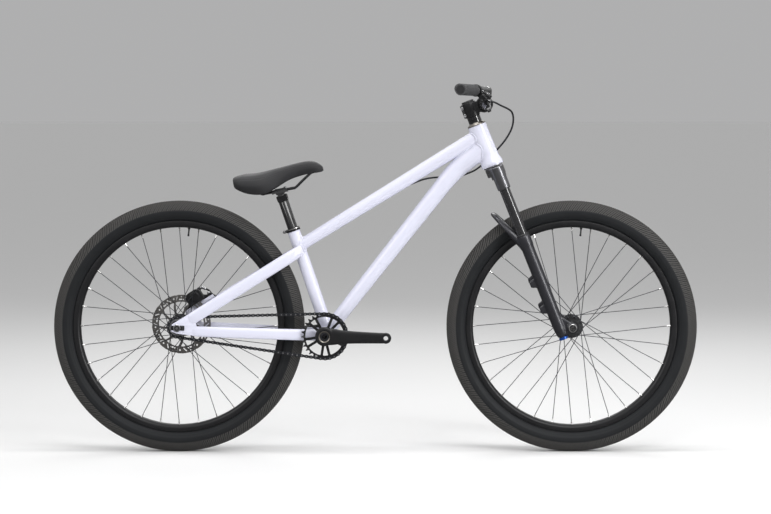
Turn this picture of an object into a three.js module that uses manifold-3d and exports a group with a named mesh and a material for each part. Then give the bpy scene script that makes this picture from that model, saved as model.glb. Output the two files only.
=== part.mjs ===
// Dirt jump bicycle: hardtail frame, suspension fork, single-speed drive and rear disc brake.
// Millimetres and degrees. X points forward, Y to the rider's left and Z up. The origin is on the
// ground, midway between the two axles.
import * as THREE from "three";
import { mergeVertices } from "three/addons/utils/BufferGeometryUtils.js";
import Module from "manifold-3d";

const wasm = await Module();
wasm.setup();

// Units, clearances and facets
const degree = Math.PI / 180;
const fullTurn = 360 * degree;
const fitGap = 0.3;
const runGap = 0.6;
const overrun = 10;
const mergeDistance = 0.001;
const wheelFacets = 36;
const turnedFacets = 16;
const tubeFacets = 16;
const barSides = 12;
const smallFacets = 10;
const staySides = 12;
const spokeSides = 3;
const rollerSides = 4;
const gripSides = 14;
const pedalHoleFacets = 12;
const bendSteps = 4;
const railSteps = 18;
const archSteps = 10;
const barSteps = 7;
const hoseLoopSteps = 20;
const hoseRunSteps = 40;

// Layout of the whole bicycle
const wheelbase = 1060;
const tyreRadius = 338;
const tyreToBracket = 57.4;
const chainstayLength = tyreRadius + tyreToBracket;
const bottomBracketDrop = 24;
const headAngle = 68.4;
const seatAngle = 71.1;
const stayAngle = 32;
const forkLength = 481;
const forkOffset = 38.7;

// Tyres and rims
const tyreWidth = 58;
const tyreWall = 3;
const beadSeatRadius = 279.5;
const beadThickness = 4.5;
const flangeHeight = 5.5;
const rimDepth = 18.5;
const rimWidth = 34;
const rimSpokeFace = 22;
const rimWall = 2.6;
const valveHoleRadius = 4.2;

// Spokes and hubs
const spokesPerSide = 16;
const spokeCrossings = 3;
const spokeWidth = 2;
const spokeHoleRadius = 26;
const spokeRimOffset = 3;
const flangeRadius = 29.5;
const flangeThickness = 3.6;
const hubBarrelRadius = 15;
const frontHubWidth = 100;
const frontFlangeRight = 34;
const frontFlangeLeft = 24;
const frontDiscFace = 36;
const hubEndRadius = 12;
const discBossRadius = 22;
const rearHubWidth = 135;
const rearFlangeRight = 31;
const rearFlangeLeft = 33;
const driverRadius = 16.5;
const driverStart = 42;
const rearAxleRadius = 5.9;
const rearAxleHeadRadius = 10;
const rearAxleHeadThickness = 5;
const axleSocketRadius = 4.5;
const axleSocketDepth = 3;

// Brake rotor, pads and caliper
const rotorRadius = 80;
const rotorBandWidth = 19;
const rotorThickness = 1.8;
const rotorPlane = 52;
const rotorCarrierRadius = 27;
const rotorArms = 9;
const rotorArmWidth = 5.5;
const rotorArmSweep = 13;
const padClearance = 0.5;
const padThickness = 3.8;
const padLength = 28;
const caliperCorner = 9;
const caliperAlong = 69.3;
const caliperLength = 46;
const caliperTop = 61;
const caliperFoot = 24.4;
const caliperHalfDepth = 9;
const caliperMountSpacing = 74.2;
const caliperEarRadius = 7.5;
const mountRailTop = 24;
const mountRailInner = 60;
const mountRailOuter = 72;

// Frame
const seatTubeOffset = 10;
const seatTubeLength = 302.3;
const seatTubeRadius = 17;
const headTubeLength = 117;
const headTubeTopRadius = 25.2;
const headTubeWaistRadius = 26;
const headTubeFootRadius = 30.5;
const headTubeBore = 22.5;
const headTubeFlare = 14;
const bearingSeatRadius = 26.3;
const bearingSeatDepth = 7.6;
const frameWall = 2.4;
const topTubeSeatDrop = 49.6;
const topTubeHeadDrop = 26.4;
const topTubeSeatHeight = 32;
const topTubeHeadHeight = 38;
const topTubeSeatWidth = 33;
const topTubeHeadWidth = 40;
const downTubeHeadRise = 51.4;
const downTubeHeadAngle = 36.4;
const downTubeBendLength = 100.8;
const downTubeBendBlend = 55;
const downTubeFootHeight = 35;
const downTubeMiddleHeight = 45;
const downTubeHeadHeight = 58;
const downTubeFootWidth = 40;
const downTubeHeadWidth = 48;
const bracketShellRadius = 22;
const bracketShellWidth = 73;
const cartridgeRadius = 19.6;
const cupRadius = 22.5;
const cupLength = 9;
const seatstayHeight = 32;
const seatstayWidth = 14.5;
const seatstayReach = 385;
const chainstayRearHeight = 27;
const chainstayFrontHeight = 31;
const chainstayWidth = 14;
const chainstayRearDrop = 6.5;
const stayStart = 52.6;
const dropoutThickness = 7.5;
const slotHalfHeight = 6.4;
const slotDepth = 20;
const dropoutTip = 16;
const tensionerLength = 9;
const tensionerStand = 2.2;

// Seat clamp, post and saddle
const seatClampWall = 4;
const seatClampHeight = 14;
const seatClampEar = 9;
const seatClampSlot = 3;
const seatpostRadius = 13.6;
const seatpostWall = 2.4;
const seatpostExposed = 109;
const seatpostInserted = 155;
const postHeadRadius = 14;
const postHeadWidth = 30;
const saddleTilt = 11;
const railRadius = 3.5;
const railSpread = 22;
const railReach = 92;
const clampLength = 42;
const clampHeight = 11;
const clampWidth = 58;
const saddleLength = 248;
const saddleWidth = 140;
const saddleCrown = 62;
const saddleRearReach = 118;
const saddleBaseHeight = 36;
const saddleBaseThickness = 4;
const saddleBaseWidth = 84;

// Crank, chain and sprockets
const chainPitch = 12.7;
const ringTeeth = 30;
const cogTeeth = 13;
const chainLine = 49;
const chainInnerWidth = 3.6;
const chainPlateThickness = 2.4;
const chainPlateHeight = 8.4;
const rollerRadius = 3.3;
const sprocketThickness = 2.6;
const toothTipHeight = 3.3;
const toothRootDepth = 4.4;
const ringWindowRadius = 52;
const ringHubRadius = 25;
const ringBore = 18;
const ringArmWidth = 7;
const ringArmSpread = 11.5;
const ringArmPairs = 5;
const ringArmAngle = 45;
const crankLength = 165;
const crankBossRadius = 25;
const crankBossInner = 51;
const crankBossOuter = 70;
const crankEndRadius = 14.5;
const crankEndInner = 70;
const crankEndOuter = 83;
const crankArmRootHeight = 38;
const pedalHoleRadius = 7.1;
const spindleRadius = 12;
const spindleEnd = 68;
const spindleBore = 7;
const crankPitch = -1;

// Fork
const stanchionRadius = 14;
const stanchionWall = 2;
const stanchionSpacing = 130;
const stanchionLength = 376;
const legAhead = 6;
const crownTop = 4;
const crownHeight = 32;
const crownBossDepth = 68;
const crownBossRadius = 18;
const crownNeckWidth = 40;
const steererRadius = 14.3;
const steererFootRadius = 19.8;
const steererBore = 11;
const steererShort = 2.8;
const legTop = 201;
const legFootBelowAxle = 12;
const legFoot = forkLength + legFootBelowAxle;
const legRadius = 17;
const legCollarRadius = 18.8;
const legCollarHeight = 34;
const legFootRadius = 14;
const legFloor = 9;
const legBoreEnd = legFoot - legFloor;
const archRise = 76;
const archBack = 46;
const archHalfThickness = 6.5;
const archHalfHeight = 9;
const lugRadius = 15;
const lugOuter = 78;
const lugWebOuter = 75;
const lugWebInner = 52.5;
const frontAxleRadius = 7.5;
const frontAxleBore = 4.5;
const frontAxleHeadRadius = 11;
const frontAxleHeadThickness = 5.5;
const brakePostAboveAxle = 74;
const brakePostDrop = forkLength - brakePostAboveAxle;
const brakePostSpacing = 74.2;
const brakePostReach = 31;
const brakePostRadius = 8;
const knobRadius = 12;
const knobHeight = 8;

// Headset, stem, bar and grips
const headsetCoverHeight = 8;
const spacerHeight = 17.5;
const spacerRadius = 18;
const stemHeight = 40;
const stemReach = 40.3;
const stemClampRadius = 19.5;
const stemNeckWidth = 34;
const stemNeckHeight = 31;
const barClampRadius = 22;
const barClampWidth = 48;
const faceplateGap = 2.4;
const topCapHeight = 5;
const topCapRadius = 17;
const barRadius = 15.9;
const barEndRadius = 11.1;
const barHalfWidth = 385;
const barRise = 61.9;
const barAhead = 16.5;
const barSweep = 13.5;
const barUpsweep = 6.55;
const barBendStart = 34;
const barBendEnd = 125;
const gripLength = 137;
const gripRadius = 15;
const gripCap = 3;

// Brake lever
const leverToGrip = 16;
const leverPlace = barHalfWidth - gripLength - leverToGrip;
const leverReachAngle = 63.6;
const leverClampRadius = 16.5;
const leverClampWidth = 14;
const leverBodyReach = 29;
const leverBodyRadius = 9;
const leverBodyInboard = 42;
const leverBodyOutboard = 20;
const leverPivotReach = 47;
const leverPivotOutboard = 14;
const leverPivotRadius = 3;
const leverEarRadius = 7;
const leverEarThickness = 3;
const leverHalfThickness = 4;
const leverBladeWidth = 8;
const leverBladeReach = 64;
const leverBladeLength = 92;
const leverBladeFlare = 13;

// Hose
const hoseRadius = 2.5;
const hoseSides = 6;

// Colours and finishes
const finish = (color, roughness, metalness) => new THREE.MeshStandardMaterial({ color, roughness, metalness });
const framePaint = finish("#cfcbe0", 0.35, 0.1);
const glossBlack = finish("#101113", 0.2, 0.4);
const satinBlack = finish("#1b1c1f", 0.5, 0.3);
const forkGrey = finish("#2b2c30", 0.5, 0.3);
const crownGrey = finish("#77787c", 0.4, 0.7);
const tyreRubber = finish("#2a2c31", 0.9, 0);
const gripRubber = finish("#232427", 0.9, 0);
const steel = finish("#9b9a98", 0.3, 0.9);
const champagne = finish("#b9a58c", 0.35, 0.8);
const rotorSteel = finish("#b7ada0", 0.3, 0.9);
const blueAnodised = finish("#2458b8", 0.35, 0.6);
const saddleCover = finish("#141416", 0.8, 0);
const chainSteel = finish("#4a4b4f", 0.4, 0.8);

// Vectors and solids
const vec = (x, y, z) => new THREE.Vector3(x, y, z);
const sideways = vec(0, 1, 0);
const upwards = vec(0, 0, 1);
const sum = (values) => values.reduce((total, value) => total + value, 0);
const mix = (from, to, share) => from + (to - from) * share;

function solid(geometry) {
  const bare = geometry.clone();
  bare.deleteAttribute("normal");
  bare.deleteAttribute("uv");
  const merged = mergeVertices(bare, mergeDistance);
  const vertProperties = merged.attributes.position.array;
  const triVerts = Uint32Array.from(merged.index.array);
  return new wasm.Manifold(new wasm.Mesh({ numProp: 3, vertProperties, triVerts }));
}

function geometryOf(body) {
  const { vertProperties, triVerts, numProp } = body.getMesh();
  const corners = Array.from({ length: vertProperties.length / numProp }, (_, k) =>
    Array.from(vertProperties.subarray(k * numProp, k * numProp + 3)),
  );
  const geometry = new THREE.BufferGeometry();
  geometry.setAttribute("position", new THREE.Float32BufferAttribute(corners.flat(), 3));
  geometry.setIndex(Array.from(triVerts));
  return geometry;
}

const joined = (...bodies) => bodies.reduce((whole, body) => whole.add(body));
const cut = (body, ...tools) => tools.reduce((rest, tool) => rest.subtract(tool), body);
const kept = (body, tool) => body.intersect(tool);

function moved(body, matrix) {
  return solid(geometryOf(body).applyMatrix4(matrix));
}

function mirrored(body) {
  const geometry = geometryOf(body).scale(1, -1, 1);
  const index = Array.from(geometry.index.array);
  for (let i = 0; i < index.length; i += 3) {
    [index[i + 1], index[i + 2]] = [index[i + 2], index[i + 1]];
  }
  geometry.setIndex(index);
  return solid(geometry);
}

// A profile of [radius, along] points, turned round the Y axis.
function turned(profile, facets = turnedFacets) {
  const closes = profile[0][0] > 0 || profile.at(-1)[0] > 0;
  const area = sum(
    profile.map(([r, a], k) => {
      const [nextR, nextA] = profile[(k + 1) % profile.length];
      return r * nextA - nextR * a;
    }),
  );
  const ordered = area < 0 ? [...profile].reverse() : [...profile];
  if (closes) ordered.push(ordered[0]);
  const points = ordered.map(([radius, along]) => new THREE.Vector2(radius, along));
  return solid(new THREE.LatheGeometry(points, facets).toNonIndexed());
}

const disc = (radius, low, high, facets) =>
  turned([[0, low], [radius, low], [radius, high], [0, high]], facets);
// A faceted hole's radius that leaves the gap all round a shaft that turns in it.
const clearOf = (radius, facets) => (radius + fitGap) / Math.cos(fullTurn / 2 / facets);
const collar = (inner, outer, low, high, facets) =>
  turned([[inner, low], [outer, low], [outer, high], [inner, high]], facets);
const quarterTurn = new THREE.Matrix4().makeRotationX(90 * degree);
const upright = (body) => moved(body, quarterTurn);
const shifted = (body, x, y, z) => moved(body, new THREE.Matrix4().makeTranslation(x, y, z));

function block([x0, x1], [y0, y1], [z0, z1]) {
  const box = new THREE.BoxGeometry(x1 - x0, y1 - y0, z1 - z0);
  return solid(box.translate((x0 + x1) / 2, (y0 + y1) / 2, (z0 + z1) / 2));
}

// An outline and its windows, drawn to the depth given.
function slab(outline, windows, depth) {
  const points = outline.map(([x, y]) => new THREE.Vector2(x, y));
  const shape = new THREE.Shape(THREE.ShapeUtils.area(points) < 0 ? points.reverse() : points);
  for (const hole of windows) {
    shape.holes.push(new THREE.Path(hole.map(([x, y]) => new THREE.Vector2(x, y))));
  }
  return new THREE.ExtrudeGeometry(shape, { depth, bevelEnabled: false });
}

// An outline of [x, z] points, as thick as the two places along Y say.
const plate = (outline, low, high, windows = []) =>
  solid(slab(outline, windows, high - low).rotateX(90 * degree).translate(0, high, 0));

// An outline of [x, y] points, from one height to another.
const flat = (outline, low, high) => solid(slab(outline, [], high - low).translate(0, 0, low));

// Rings of points, all alike in number, skinned and capped.
function skinned(rings) {
  const sides = rings[0].length;
  const faces = [];
  for (let ring = 0; ring < rings.length - 1; ring++) {
    for (let side = 0; side < sides; side++) {
      const a = ring * sides + side;
      const b = ring * sides + ((side + 1) % sides);
      faces.push(a, b, b + sides, a, b + sides, a + sides);
    }
  }
  const end = (rings.length - 1) * sides;
  for (let side = 1; side < sides - 1; side++) {
    faces.push(0, side + 1, side, end, end + side, end + side + 1);
  }
  const geometry = new THREE.BufferGeometry().setFromPoints(rings.flat());
  geometry.setIndex(faces);
  return solid(geometry);
}

// A bar of oval section along a path, with its half widths and half heights at each point.
function swept({ path, halfWidths, halfHeights, hint = upwards, sides = tubeFacets, roundness = 1 }, grow = 0, extend = 0) {
  const last = path.length - 1;
  const centres = path.map((point) => point.clone());
  centres[0].addScaledVector(path[0].clone().sub(path[1]).normalize(), extend);
  centres[last].addScaledVector(path[last].clone().sub(path[last - 1]).normalize(), extend);
  const rounded = (value) => Math.sign(value) * Math.abs(value) ** roundness;
  const rings = centres.map((centre, k) => {
    const ahead = centres[Math.min(k + 1, last)].clone().sub(centres[Math.max(k - 1, 0)]).normalize();
    const across = hint.clone().cross(ahead).normalize();
    const over = ahead.clone().cross(across);
    return Array.from({ length: sides }, (_, side) => {
      const angle = (side / sides) * fullTurn;
      return centre
        .clone()
        .addScaledVector(across, (halfWidths[k] + grow) * rounded(Math.cos(angle)))
        .addScaledVector(over, (halfHeights[k] + grow) * rounded(Math.sin(angle)));
    });
  });
  return skinned(rings);
}

const rod = (path, radius, sides = smallFacets, hint = upwards) =>
  swept({ path, halfWidths: path.map(() => radius), halfHeights: path.map(() => radius), hint, sides });
const hollow = (tube, wall, overhang = overrun) => cut(swept(tube), swept(tube, -wall, overhang));

const group = (matrix = new THREE.Matrix4()) => {
  const holder = new THREE.Group();
  holder.applyMatrix4(matrix);
  return holder;
};

function piece(holder, name, body, material) {
  const geometry = geometryOf(body).toNonIndexed();
  geometry.computeVertexNormals();
  const mesh = new THREE.Mesh(geometry, material);
  mesh.name = name;
  holder.add(mesh);
}

// The frames of reference that the pieces are placed in
const steerUp = vec(-Math.cos(headAngle * degree), 0, Math.sin(headAngle * degree));
const steerAhead = vec(Math.sin(headAngle * degree), 0, Math.cos(headAngle * degree));
const seatUp = vec(-Math.cos(seatAngle * degree), 0, Math.sin(seatAngle * degree));
const stayUp = vec(Math.cos(stayAngle * degree), 0, Math.sin(stayAngle * degree));
const rearAxle = vec(-wheelbase / 2, 0, tyreRadius);
const frontAxle = vec(wheelbase / 2, 0, tyreRadius);
const bracketAhead = Math.sqrt(chainstayLength ** 2 - bottomBracketDrop ** 2);
const bracket = rearAxle.clone().add(vec(bracketAhead, 0, -bottomBracketDrop));
const headFoot = frontAxle.clone().addScaledVector(steerUp, forkLength).addScaledVector(steerAhead, -forkOffset);
const seatTop = bracket.clone().add(vec(seatTubeOffset, 0, 0)).addScaledVector(seatUp, seatTubeLength);
const tilted = (angle, place) => new THREE.Matrix4().makeRotationY(angle * degree).setPosition(place);
const steerPlace = tilted(headAngle - 90, headFoot);
const seatPlace = tilted(seatAngle - 90, seatTop);
const stayPlace = tilted(-stayAngle, rearAxle);
const saddlePivot = seatTop.clone().addScaledVector(seatUp, seatpostExposed);
const saddlePlace = tilted(-saddleTilt, saddlePivot);
const bracketPlace = new THREE.Matrix4().setPosition(bracket);
const rearPlace = new THREE.Matrix4().setPosition(rearAxle);
const frontPlace = new THREE.Matrix4().setPosition(frontAxle);

const bicycle = new THREE.Group();
const frame = group();
const headFrame = group(steerPlace);
const seatFrame = group(seatPlace);
const rearWheel = group(rearPlace);
const frontWheel = group(frontPlace);
const stayFrame = group(stayPlace);
const crankFrame = group(bracketPlace);
const saddleFrame = group(saddlePlace);
bicycle.add(frame, headFrame, seatFrame, rearWheel, frontWheel, stayFrame, crankFrame, saddleFrame);

// Tyre: a C section, open to the rim, with a square-edged tread
const tyreSection = tyreWidth / 2;
const sectionCentre = tyreRadius - tyreSection;
const flangeTop = beadSeatRadius + flangeHeight;
const rimHalfWidth = rimWidth / 2;
const rimWellHalfWidth = rimHalfWidth - rimWall;
const outerArcAngles = [-139, -100, -62, -25, 25, 62, 100, 139];
const innerArcAngles = [128, 62, -62, -128];

function tyreBody() {
  const arc = (angles, radius) =>
    angles.map((angle) => [
      sectionCentre + radius * Math.cos(angle * degree),
      radius * Math.sin(angle * degree),
    ]);
  const crownStretch = tyreSection / (tyreSection * Math.cos(outerArcAngles[4] * degree));
  const outer = arc(outerArcAngles, tyreSection).map(([radius, along], k) =>
    k === 3 || k === 4 ? [sectionCentre + (radius - sectionCentre) * crownStretch, along] : [radius, along],
  );
  const beadTop = flangeTop - flangeHeight + flangeHeight / 2;
  const beadFoot = beadSeatRadius + fitGap;
  const beadSide = rimWellHalfWidth - fitGap;
  const left = [[flangeTop + runGap, beadSide], [beadFoot, beadSide], [beadTop - flangeHeight / 3, beadSide - beadThickness]];
  const right = left.map(([radius, along]) => [radius, -along]).reverse();
  const inner = arc(innerArcAngles, tyreSection - tyreWall);
  return turned([...outer, ...left, ...inner, ...right], wheelFacets);
}

// Rim: a hollow box section with a valve hole through both of its walls
const rimInnerRadius = flangeTop - rimDepth;
const rimHoleFloor = rimInnerRadius * Math.cos(fullTurn / 2 / wheelFacets);

function rimBody() {
  const shoulder = rimInnerRadius + rimDepth / 3;
  const half = [
    [rimInnerRadius, rimSpokeFace / 2],
    [shoulder, rimHalfWidth],
    [flangeTop, rimHalfWidth],
    [flangeTop, rimWellHalfWidth],
    [beadSeatRadius, rimWellHalfWidth],
  ];
  const outside = turned([...half, ...half.map(([radius, along]) => [radius, -along]).reverse()], wheelFacets);
  const ceiling = beadSeatRadius - rimWall;
  const cavity = [
    [rimInnerRadius + rimWall, rimSpokeFace / 2],
    [ceiling, rimWellHalfWidth - rimWall],
  ];
  const inside = turned([...cavity, ...cavity.map(([radius, along]) => [radius, -along]).reverse()], wheelFacets);
  const valve = rod([vec(0, 0, rimInnerRadius - overrun), vec(0, 0, flangeTop)], valveHoleRadius, smallFacets, sideways);
  const valveAngle = fullTurn / spokesPerSide / 4;
  return cut(outside, inside, moved(valve, new THREE.Matrix4().makeRotationY(valveAngle)));
}

// The spokes of one side, laced over three crossings and touching where they cross
function spokeNet(flangeFace, phase) {
  const step = fullTurn / spokesPerSide;
  const side = Math.sign(flangeFace);
  const hubSide = flangeFace + side * (runGap + spokeWidth);
  const spokes = Array.from({ length: spokesPerSide }, (_, k) => {
    const lead = k % 2 === 0 ? spokeCrossings : -spokeCrossings;
    const at = (radius, angle, along) => vec(radius * Math.sin(angle), along, radius * Math.cos(angle));
    const start = at(spokeHoleRadius, (k + phase) * step, hubSide);
    const end = at(rimHoleFloor - runGap, (k + lead + phase) * step, side * spokeRimOffset);
    return rod([start, end], (spokeWidth / 2) * Math.SQRT2, spokeSides, sideways);
  });
  return joined(...spokes);
}

function hubBody(profile) {
  return turned(profile, turnedFacets);
}

function frontHub() {
  const bore = frontAxleRadius + fitGap;
  const end = frontHubWidth / 2;
  const half = flangeThickness / 2;
  return hubBody([
    [bore, -end], [hubEndRadius, -end], [hubEndRadius, -frontFlangeRight - half],
    [flangeRadius, -frontFlangeRight - half], [flangeRadius, -frontFlangeRight + half],
    [hubBarrelRadius, -frontFlangeRight + half * 3], [hubBarrelRadius, frontFlangeLeft - half * 3],
    [flangeRadius, frontFlangeLeft - half], [flangeRadius, frontFlangeLeft + half],
    [discBossRadius, frontFlangeLeft + half], [discBossRadius, frontDiscFace],
    [hubEndRadius, frontDiscFace], [hubEndRadius, end], [bore, end],
  ]);
}

const rotorInnerFace = rotorPlane - rotorThickness / 2;

function rearHub() {
  const bore = rearAxleRadius + fitGap;
  const end = rearHubWidth / 2 - fitGap;
  const half = flangeThickness / 2;
  return hubBody([
    [bore, -end], [driverRadius - fitGap, -end], [driverRadius - fitGap, -driverStart],
    [discBossRadius, -driverStart], [discBossRadius, -rearFlangeRight - half],
    [flangeRadius, -rearFlangeRight - half], [flangeRadius, -rearFlangeRight + half],
    [hubBarrelRadius, -rearFlangeRight + half * 3], [hubBarrelRadius, rearFlangeLeft - half * 3],
    [flangeRadius, rearFlangeLeft - half], [flangeRadius, rearFlangeLeft + half],
    [discBossRadius, rearFlangeLeft + half], [discBossRadius, rotorInnerFace - fitGap],
    [hubEndRadius, rotorInnerFace - fitGap], [hubEndRadius, end], [bore, end],
  ]);
}

function wheel(holder, prefix, hub, rightFace, leftFace) {
  piece(holder, prefix + "_tyre", tyreBody(), tyreRubber);
  piece(holder, prefix + "_rim", rimBody(), glossBlack);
  piece(holder, prefix + "_spokes_right", spokeNet(-rightFace, 0), steel);
  piece(holder, prefix + "_spokes_left", spokeNet(leftFace, 1 / 2), steel);
  piece(holder, prefix + "_hub", hub, satinBlack);
}

const flangeHalf = flangeThickness / 2;
wheel(rearWheel, "rear", rearHub(), rearFlangeRight + flangeHalf, rearFlangeLeft + flangeHalf);
wheel(frontWheel, "front", frontHub(), frontFlangeRight + flangeHalf, frontFlangeLeft + flangeHalf);

// Rotor: a braking band on arms that sweep back
function rotorBody() {
  const bandInner = rotorRadius - rotorBandWidth;
  const around = (radius, angle) => [radius * Math.cos(angle), radius * Math.sin(angle)];
  const circle = (radius, facets) =>
    Array.from({ length: facets }, (_, k) => around(radius, (k / facets) * fullTurn));
  const step = fullTurn / rotorArms;
  const windows = Array.from({ length: rotorArms }, (_, k) => {
    const inner = rotorCarrierRadius;
    const outerMargin = rotorArmWidth / 2 / bandInner;
    const innerMargin = rotorArmWidth / 2 / inner;
    const from = k * step;
    const sweep = -rotorArmSweep * degree;
    const outerFrom = from + sweep + outerMargin;
    const outerTo = from + sweep + step - outerMargin;
    return [
      around(inner, from + innerMargin),
      around(bandInner, outerFrom),
      around(bandInner, mix(outerFrom, outerTo, 1 / 3)),
      around(bandInner, mix(outerFrom, outerTo, 2 / 3)),
      around(bandInner, outerTo),
      around(inner, from + step - innerMargin),
    ];
  });
  const bore = circle(hubEndRadius + fitGap, turnedFacets);
  return plate(circle(rotorRadius, wheelFacets), rotorInnerFace, rotorInnerFace + rotorThickness, [...windows, bore]);
}

piece(rearWheel, "brake_rotor", rotorBody(), rotorSteel);

// Rear axle bolt with its two heads
function rearAxleBody() {
  const inside = rearHubWidth / 2 + dropoutThickness + fitGap;
  const outside = inside + rearAxleHeadThickness;
  return turned([
    [0, -outside + axleSocketDepth], [axleSocketRadius, -outside + axleSocketDepth], [axleSocketRadius, -outside],
    [rearAxleHeadRadius, -outside], [rearAxleHeadRadius, -inside], [rearAxleRadius, -inside],
    [rearAxleRadius, inside], [rearAxleHeadRadius, inside], [rearAxleHeadRadius, outside], [0, outside],
  ]);
}

piece(rearWheel, "rear_axle", rearAxleBody(), steel);

// Frame tubes
const shellSolid = (grow = 0) =>
  shifted(
    disc(bracketShellRadius + grow, -bracketShellWidth / 2 - grow, bracketShellWidth / 2 + grow, tubeFacets),
    bracket.x, bracket.y, bracket.z,
  );

function headTubeProfile(grow = 0) {
  return [
    [headTubeFootRadius + grow, 0], [headTubeFootRadius + grow, headTubeFlare / 2],
    [headTubeWaistRadius + grow, headTubeFlare * 2], [headTubeTopRadius + grow, headTubeLength],
  ];
}

function headTubeSolid(grow) {
  const profile = headTubeProfile(grow);
  return moved(upright(turned([[0, 0], ...profile, [0, headTubeLength]], tubeFacets)), steerPlace);
}

const headTube = upright(
  turned([
    ...headTubeProfile(), [headTubeBore, headTubeLength], [headTubeBore, bearingSeatDepth],
    [bearingSeatRadius, bearingSeatDepth], [bearingSeatRadius, 0],
  ], tubeFacets),
);
piece(headFrame, "head_tube", headTube, framePaint);

const shell = disc(bracketShellRadius, -bracketShellWidth / 2, bracketShellWidth / 2, tubeFacets);
const shellBore = disc(cartridgeRadius + fitGap, -bracketShellWidth, bracketShellWidth, tubeFacets);
piece(crankFrame, "bottom_bracket_shell", cut(shell, shellBore), framePaint);

const seatFoot = bracket.clone().add(vec(seatTubeOffset, 0, 0));
const seatTube = {
  path: [seatFoot, seatTop],
  halfWidths: [seatTubeRadius, seatTubeRadius],
  halfHeights: [seatTubeRadius, seatTubeRadius],
  hint: steerAhead,
};
const seatTubeWall = seatTubeRadius - seatpostRadius - fitGap;
piece(frame, "seat_tube", cut(hollow(seatTube, seatTubeWall), shellSolid(fitGap)), framePaint);

const topTubeHead = headFoot.clone().addScaledVector(steerUp, headTubeLength - topTubeHeadDrop);
const topTubeSeat = seatTop.clone().addScaledVector(seatUp, -topTubeSeatDrop);
const topTube = {
  path: [topTubeSeat, topTubeSeat.clone().lerp(topTubeHead, 1 / 2), topTubeHead],
  halfWidths: [topTubeSeatWidth, (topTubeSeatWidth + topTubeHeadWidth) / 2, topTubeHeadWidth].map((w) => w / 2),
  halfHeights: [topTubeSeatHeight, (topTubeSeatHeight + topTubeHeadHeight) / 2, topTubeHeadHeight].map((h) => h / 2),
};

const downTubeHead = headFoot.clone().addScaledVector(steerUp, downTubeHeadRise);
const downTubeLine = vec(-Math.cos(downTubeHeadAngle * degree), 0, -Math.sin(downTubeHeadAngle * degree));
const downTubeBend = downTubeHead.clone().addScaledVector(downTubeLine, downTubeBendLength);
const bendBefore = downTubeBend.clone().lerp(bracket, downTubeBendBlend / downTubeBend.distanceTo(bracket));
const bendAfter = downTubeBend.clone().addScaledVector(downTubeLine, -downTubeBendBlend);
const downTubeFlareShares = [1 / 4, 1 / 2, 3 / 4];
const bendCurve = new THREE.QuadraticBezierCurve3(bendBefore, downTubeBend, bendAfter);
const downTube = {
  path: [bracket, ...bendCurve.getPoints(bendSteps), downTubeHead],
  halfWidths: [downTubeFootWidth, ...Array(bendSteps + 1).fill((downTubeFootWidth + downTubeHeadWidth) / 2), downTubeHeadWidth]
    .map((w) => w / 2),
  halfHeights: [
    downTubeFootHeight, downTubeMiddleHeight, downTubeMiddleHeight,
    ...downTubeFlareShares.map((share) => mix(downTubeMiddleHeight, downTubeHeadHeight, share)), downTubeHeadHeight,
  ].map((h) => h / 2),
};
const seatTubeCutter = swept(seatTube, fitGap, fitGap);
const downTubeBody = cut(hollow(downTube, frameWall), headTubeSolid(fitGap), shellSolid(fitGap), seatTubeCutter);
piece(frame, "down_tube", downTubeBody, framePaint);
const downTubeCutter = swept(downTube, fitGap);
piece(
  frame, "top_tube",
  cut(hollow(topTube, frameWall), headTubeSolid(fitGap), seatTubeCutter, downTubeCutter),
  framePaint,
);

// Stays: distance from the axle and place along Y, as shares of the chainstay length and hub width
const seatstayShares = [[0.133, 0.528], [0.22, 0.528], [0.55, 0.415], [0.76, 0.319], [0.85, 0.263], [0.974, 0.175]];
const chainstayShares = [
  [0.142, 0.528], [0.24, 0.528], [0.5, 0.445], [0.66, 0.37], [0.76, 0.315], [0.84, 0.262], [0.93, 0.2], [1, 0.185],
];
const stayRoundness = 0.8;
const stayPathPoint = (line, [along, across]) =>
  rearAxle.clone().addScaledVector(line, along * chainstayLength).add(vec(0, -across * rearHubWidth, 0));

const seatstay = {
  path: seatstayShares.map((share) => stayPathPoint(stayUp, share)),
  halfWidths: seatstayShares.map(() => seatstayWidth / 2),
  halfHeights: seatstayShares.map(() => seatstayHeight / 2),
  roundness: stayRoundness,
  sides: staySides,
};
const chainstayStart = rearAxle.clone().add(vec(0, 0, -chainstayRearDrop));
const chainstayLine = bracket.clone().sub(chainstayStart).normalize();
const chainstay = {
  path: chainstayShares.map(([along, across]) =>
    chainstayStart.clone().addScaledVector(chainstayLine, along * chainstayLength).add(vec(0, -across * rearHubWidth, 0)),
  ),
  halfWidths: chainstayShares.map(() => chainstayWidth / 2),
  halfHeights: chainstayShares.map(([along]) => mix(chainstayRearHeight, chainstayFrontHeight, along) / 2),
  roundness: stayRoundness,
  sides: staySides,
};
const topTubeCutter = swept(topTube, fitGap);
const seatstayBody = cut(hollow(seatstay, frameWall), seatTubeCutter, topTubeCutter);
const chainstayBody = cut(hollow(chainstay, frameWall), shellSolid(fitGap), seatTubeCutter);
piece(frame, "seatstay_right", seatstayBody, framePaint);
piece(frame, "seatstay_left", mirrored(seatstayBody), framePaint);
piece(frame, "chainstay_right", chainstayBody, framePaint);
piece(frame, "chainstay_left", mirrored(chainstayBody), framePaint);

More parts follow.
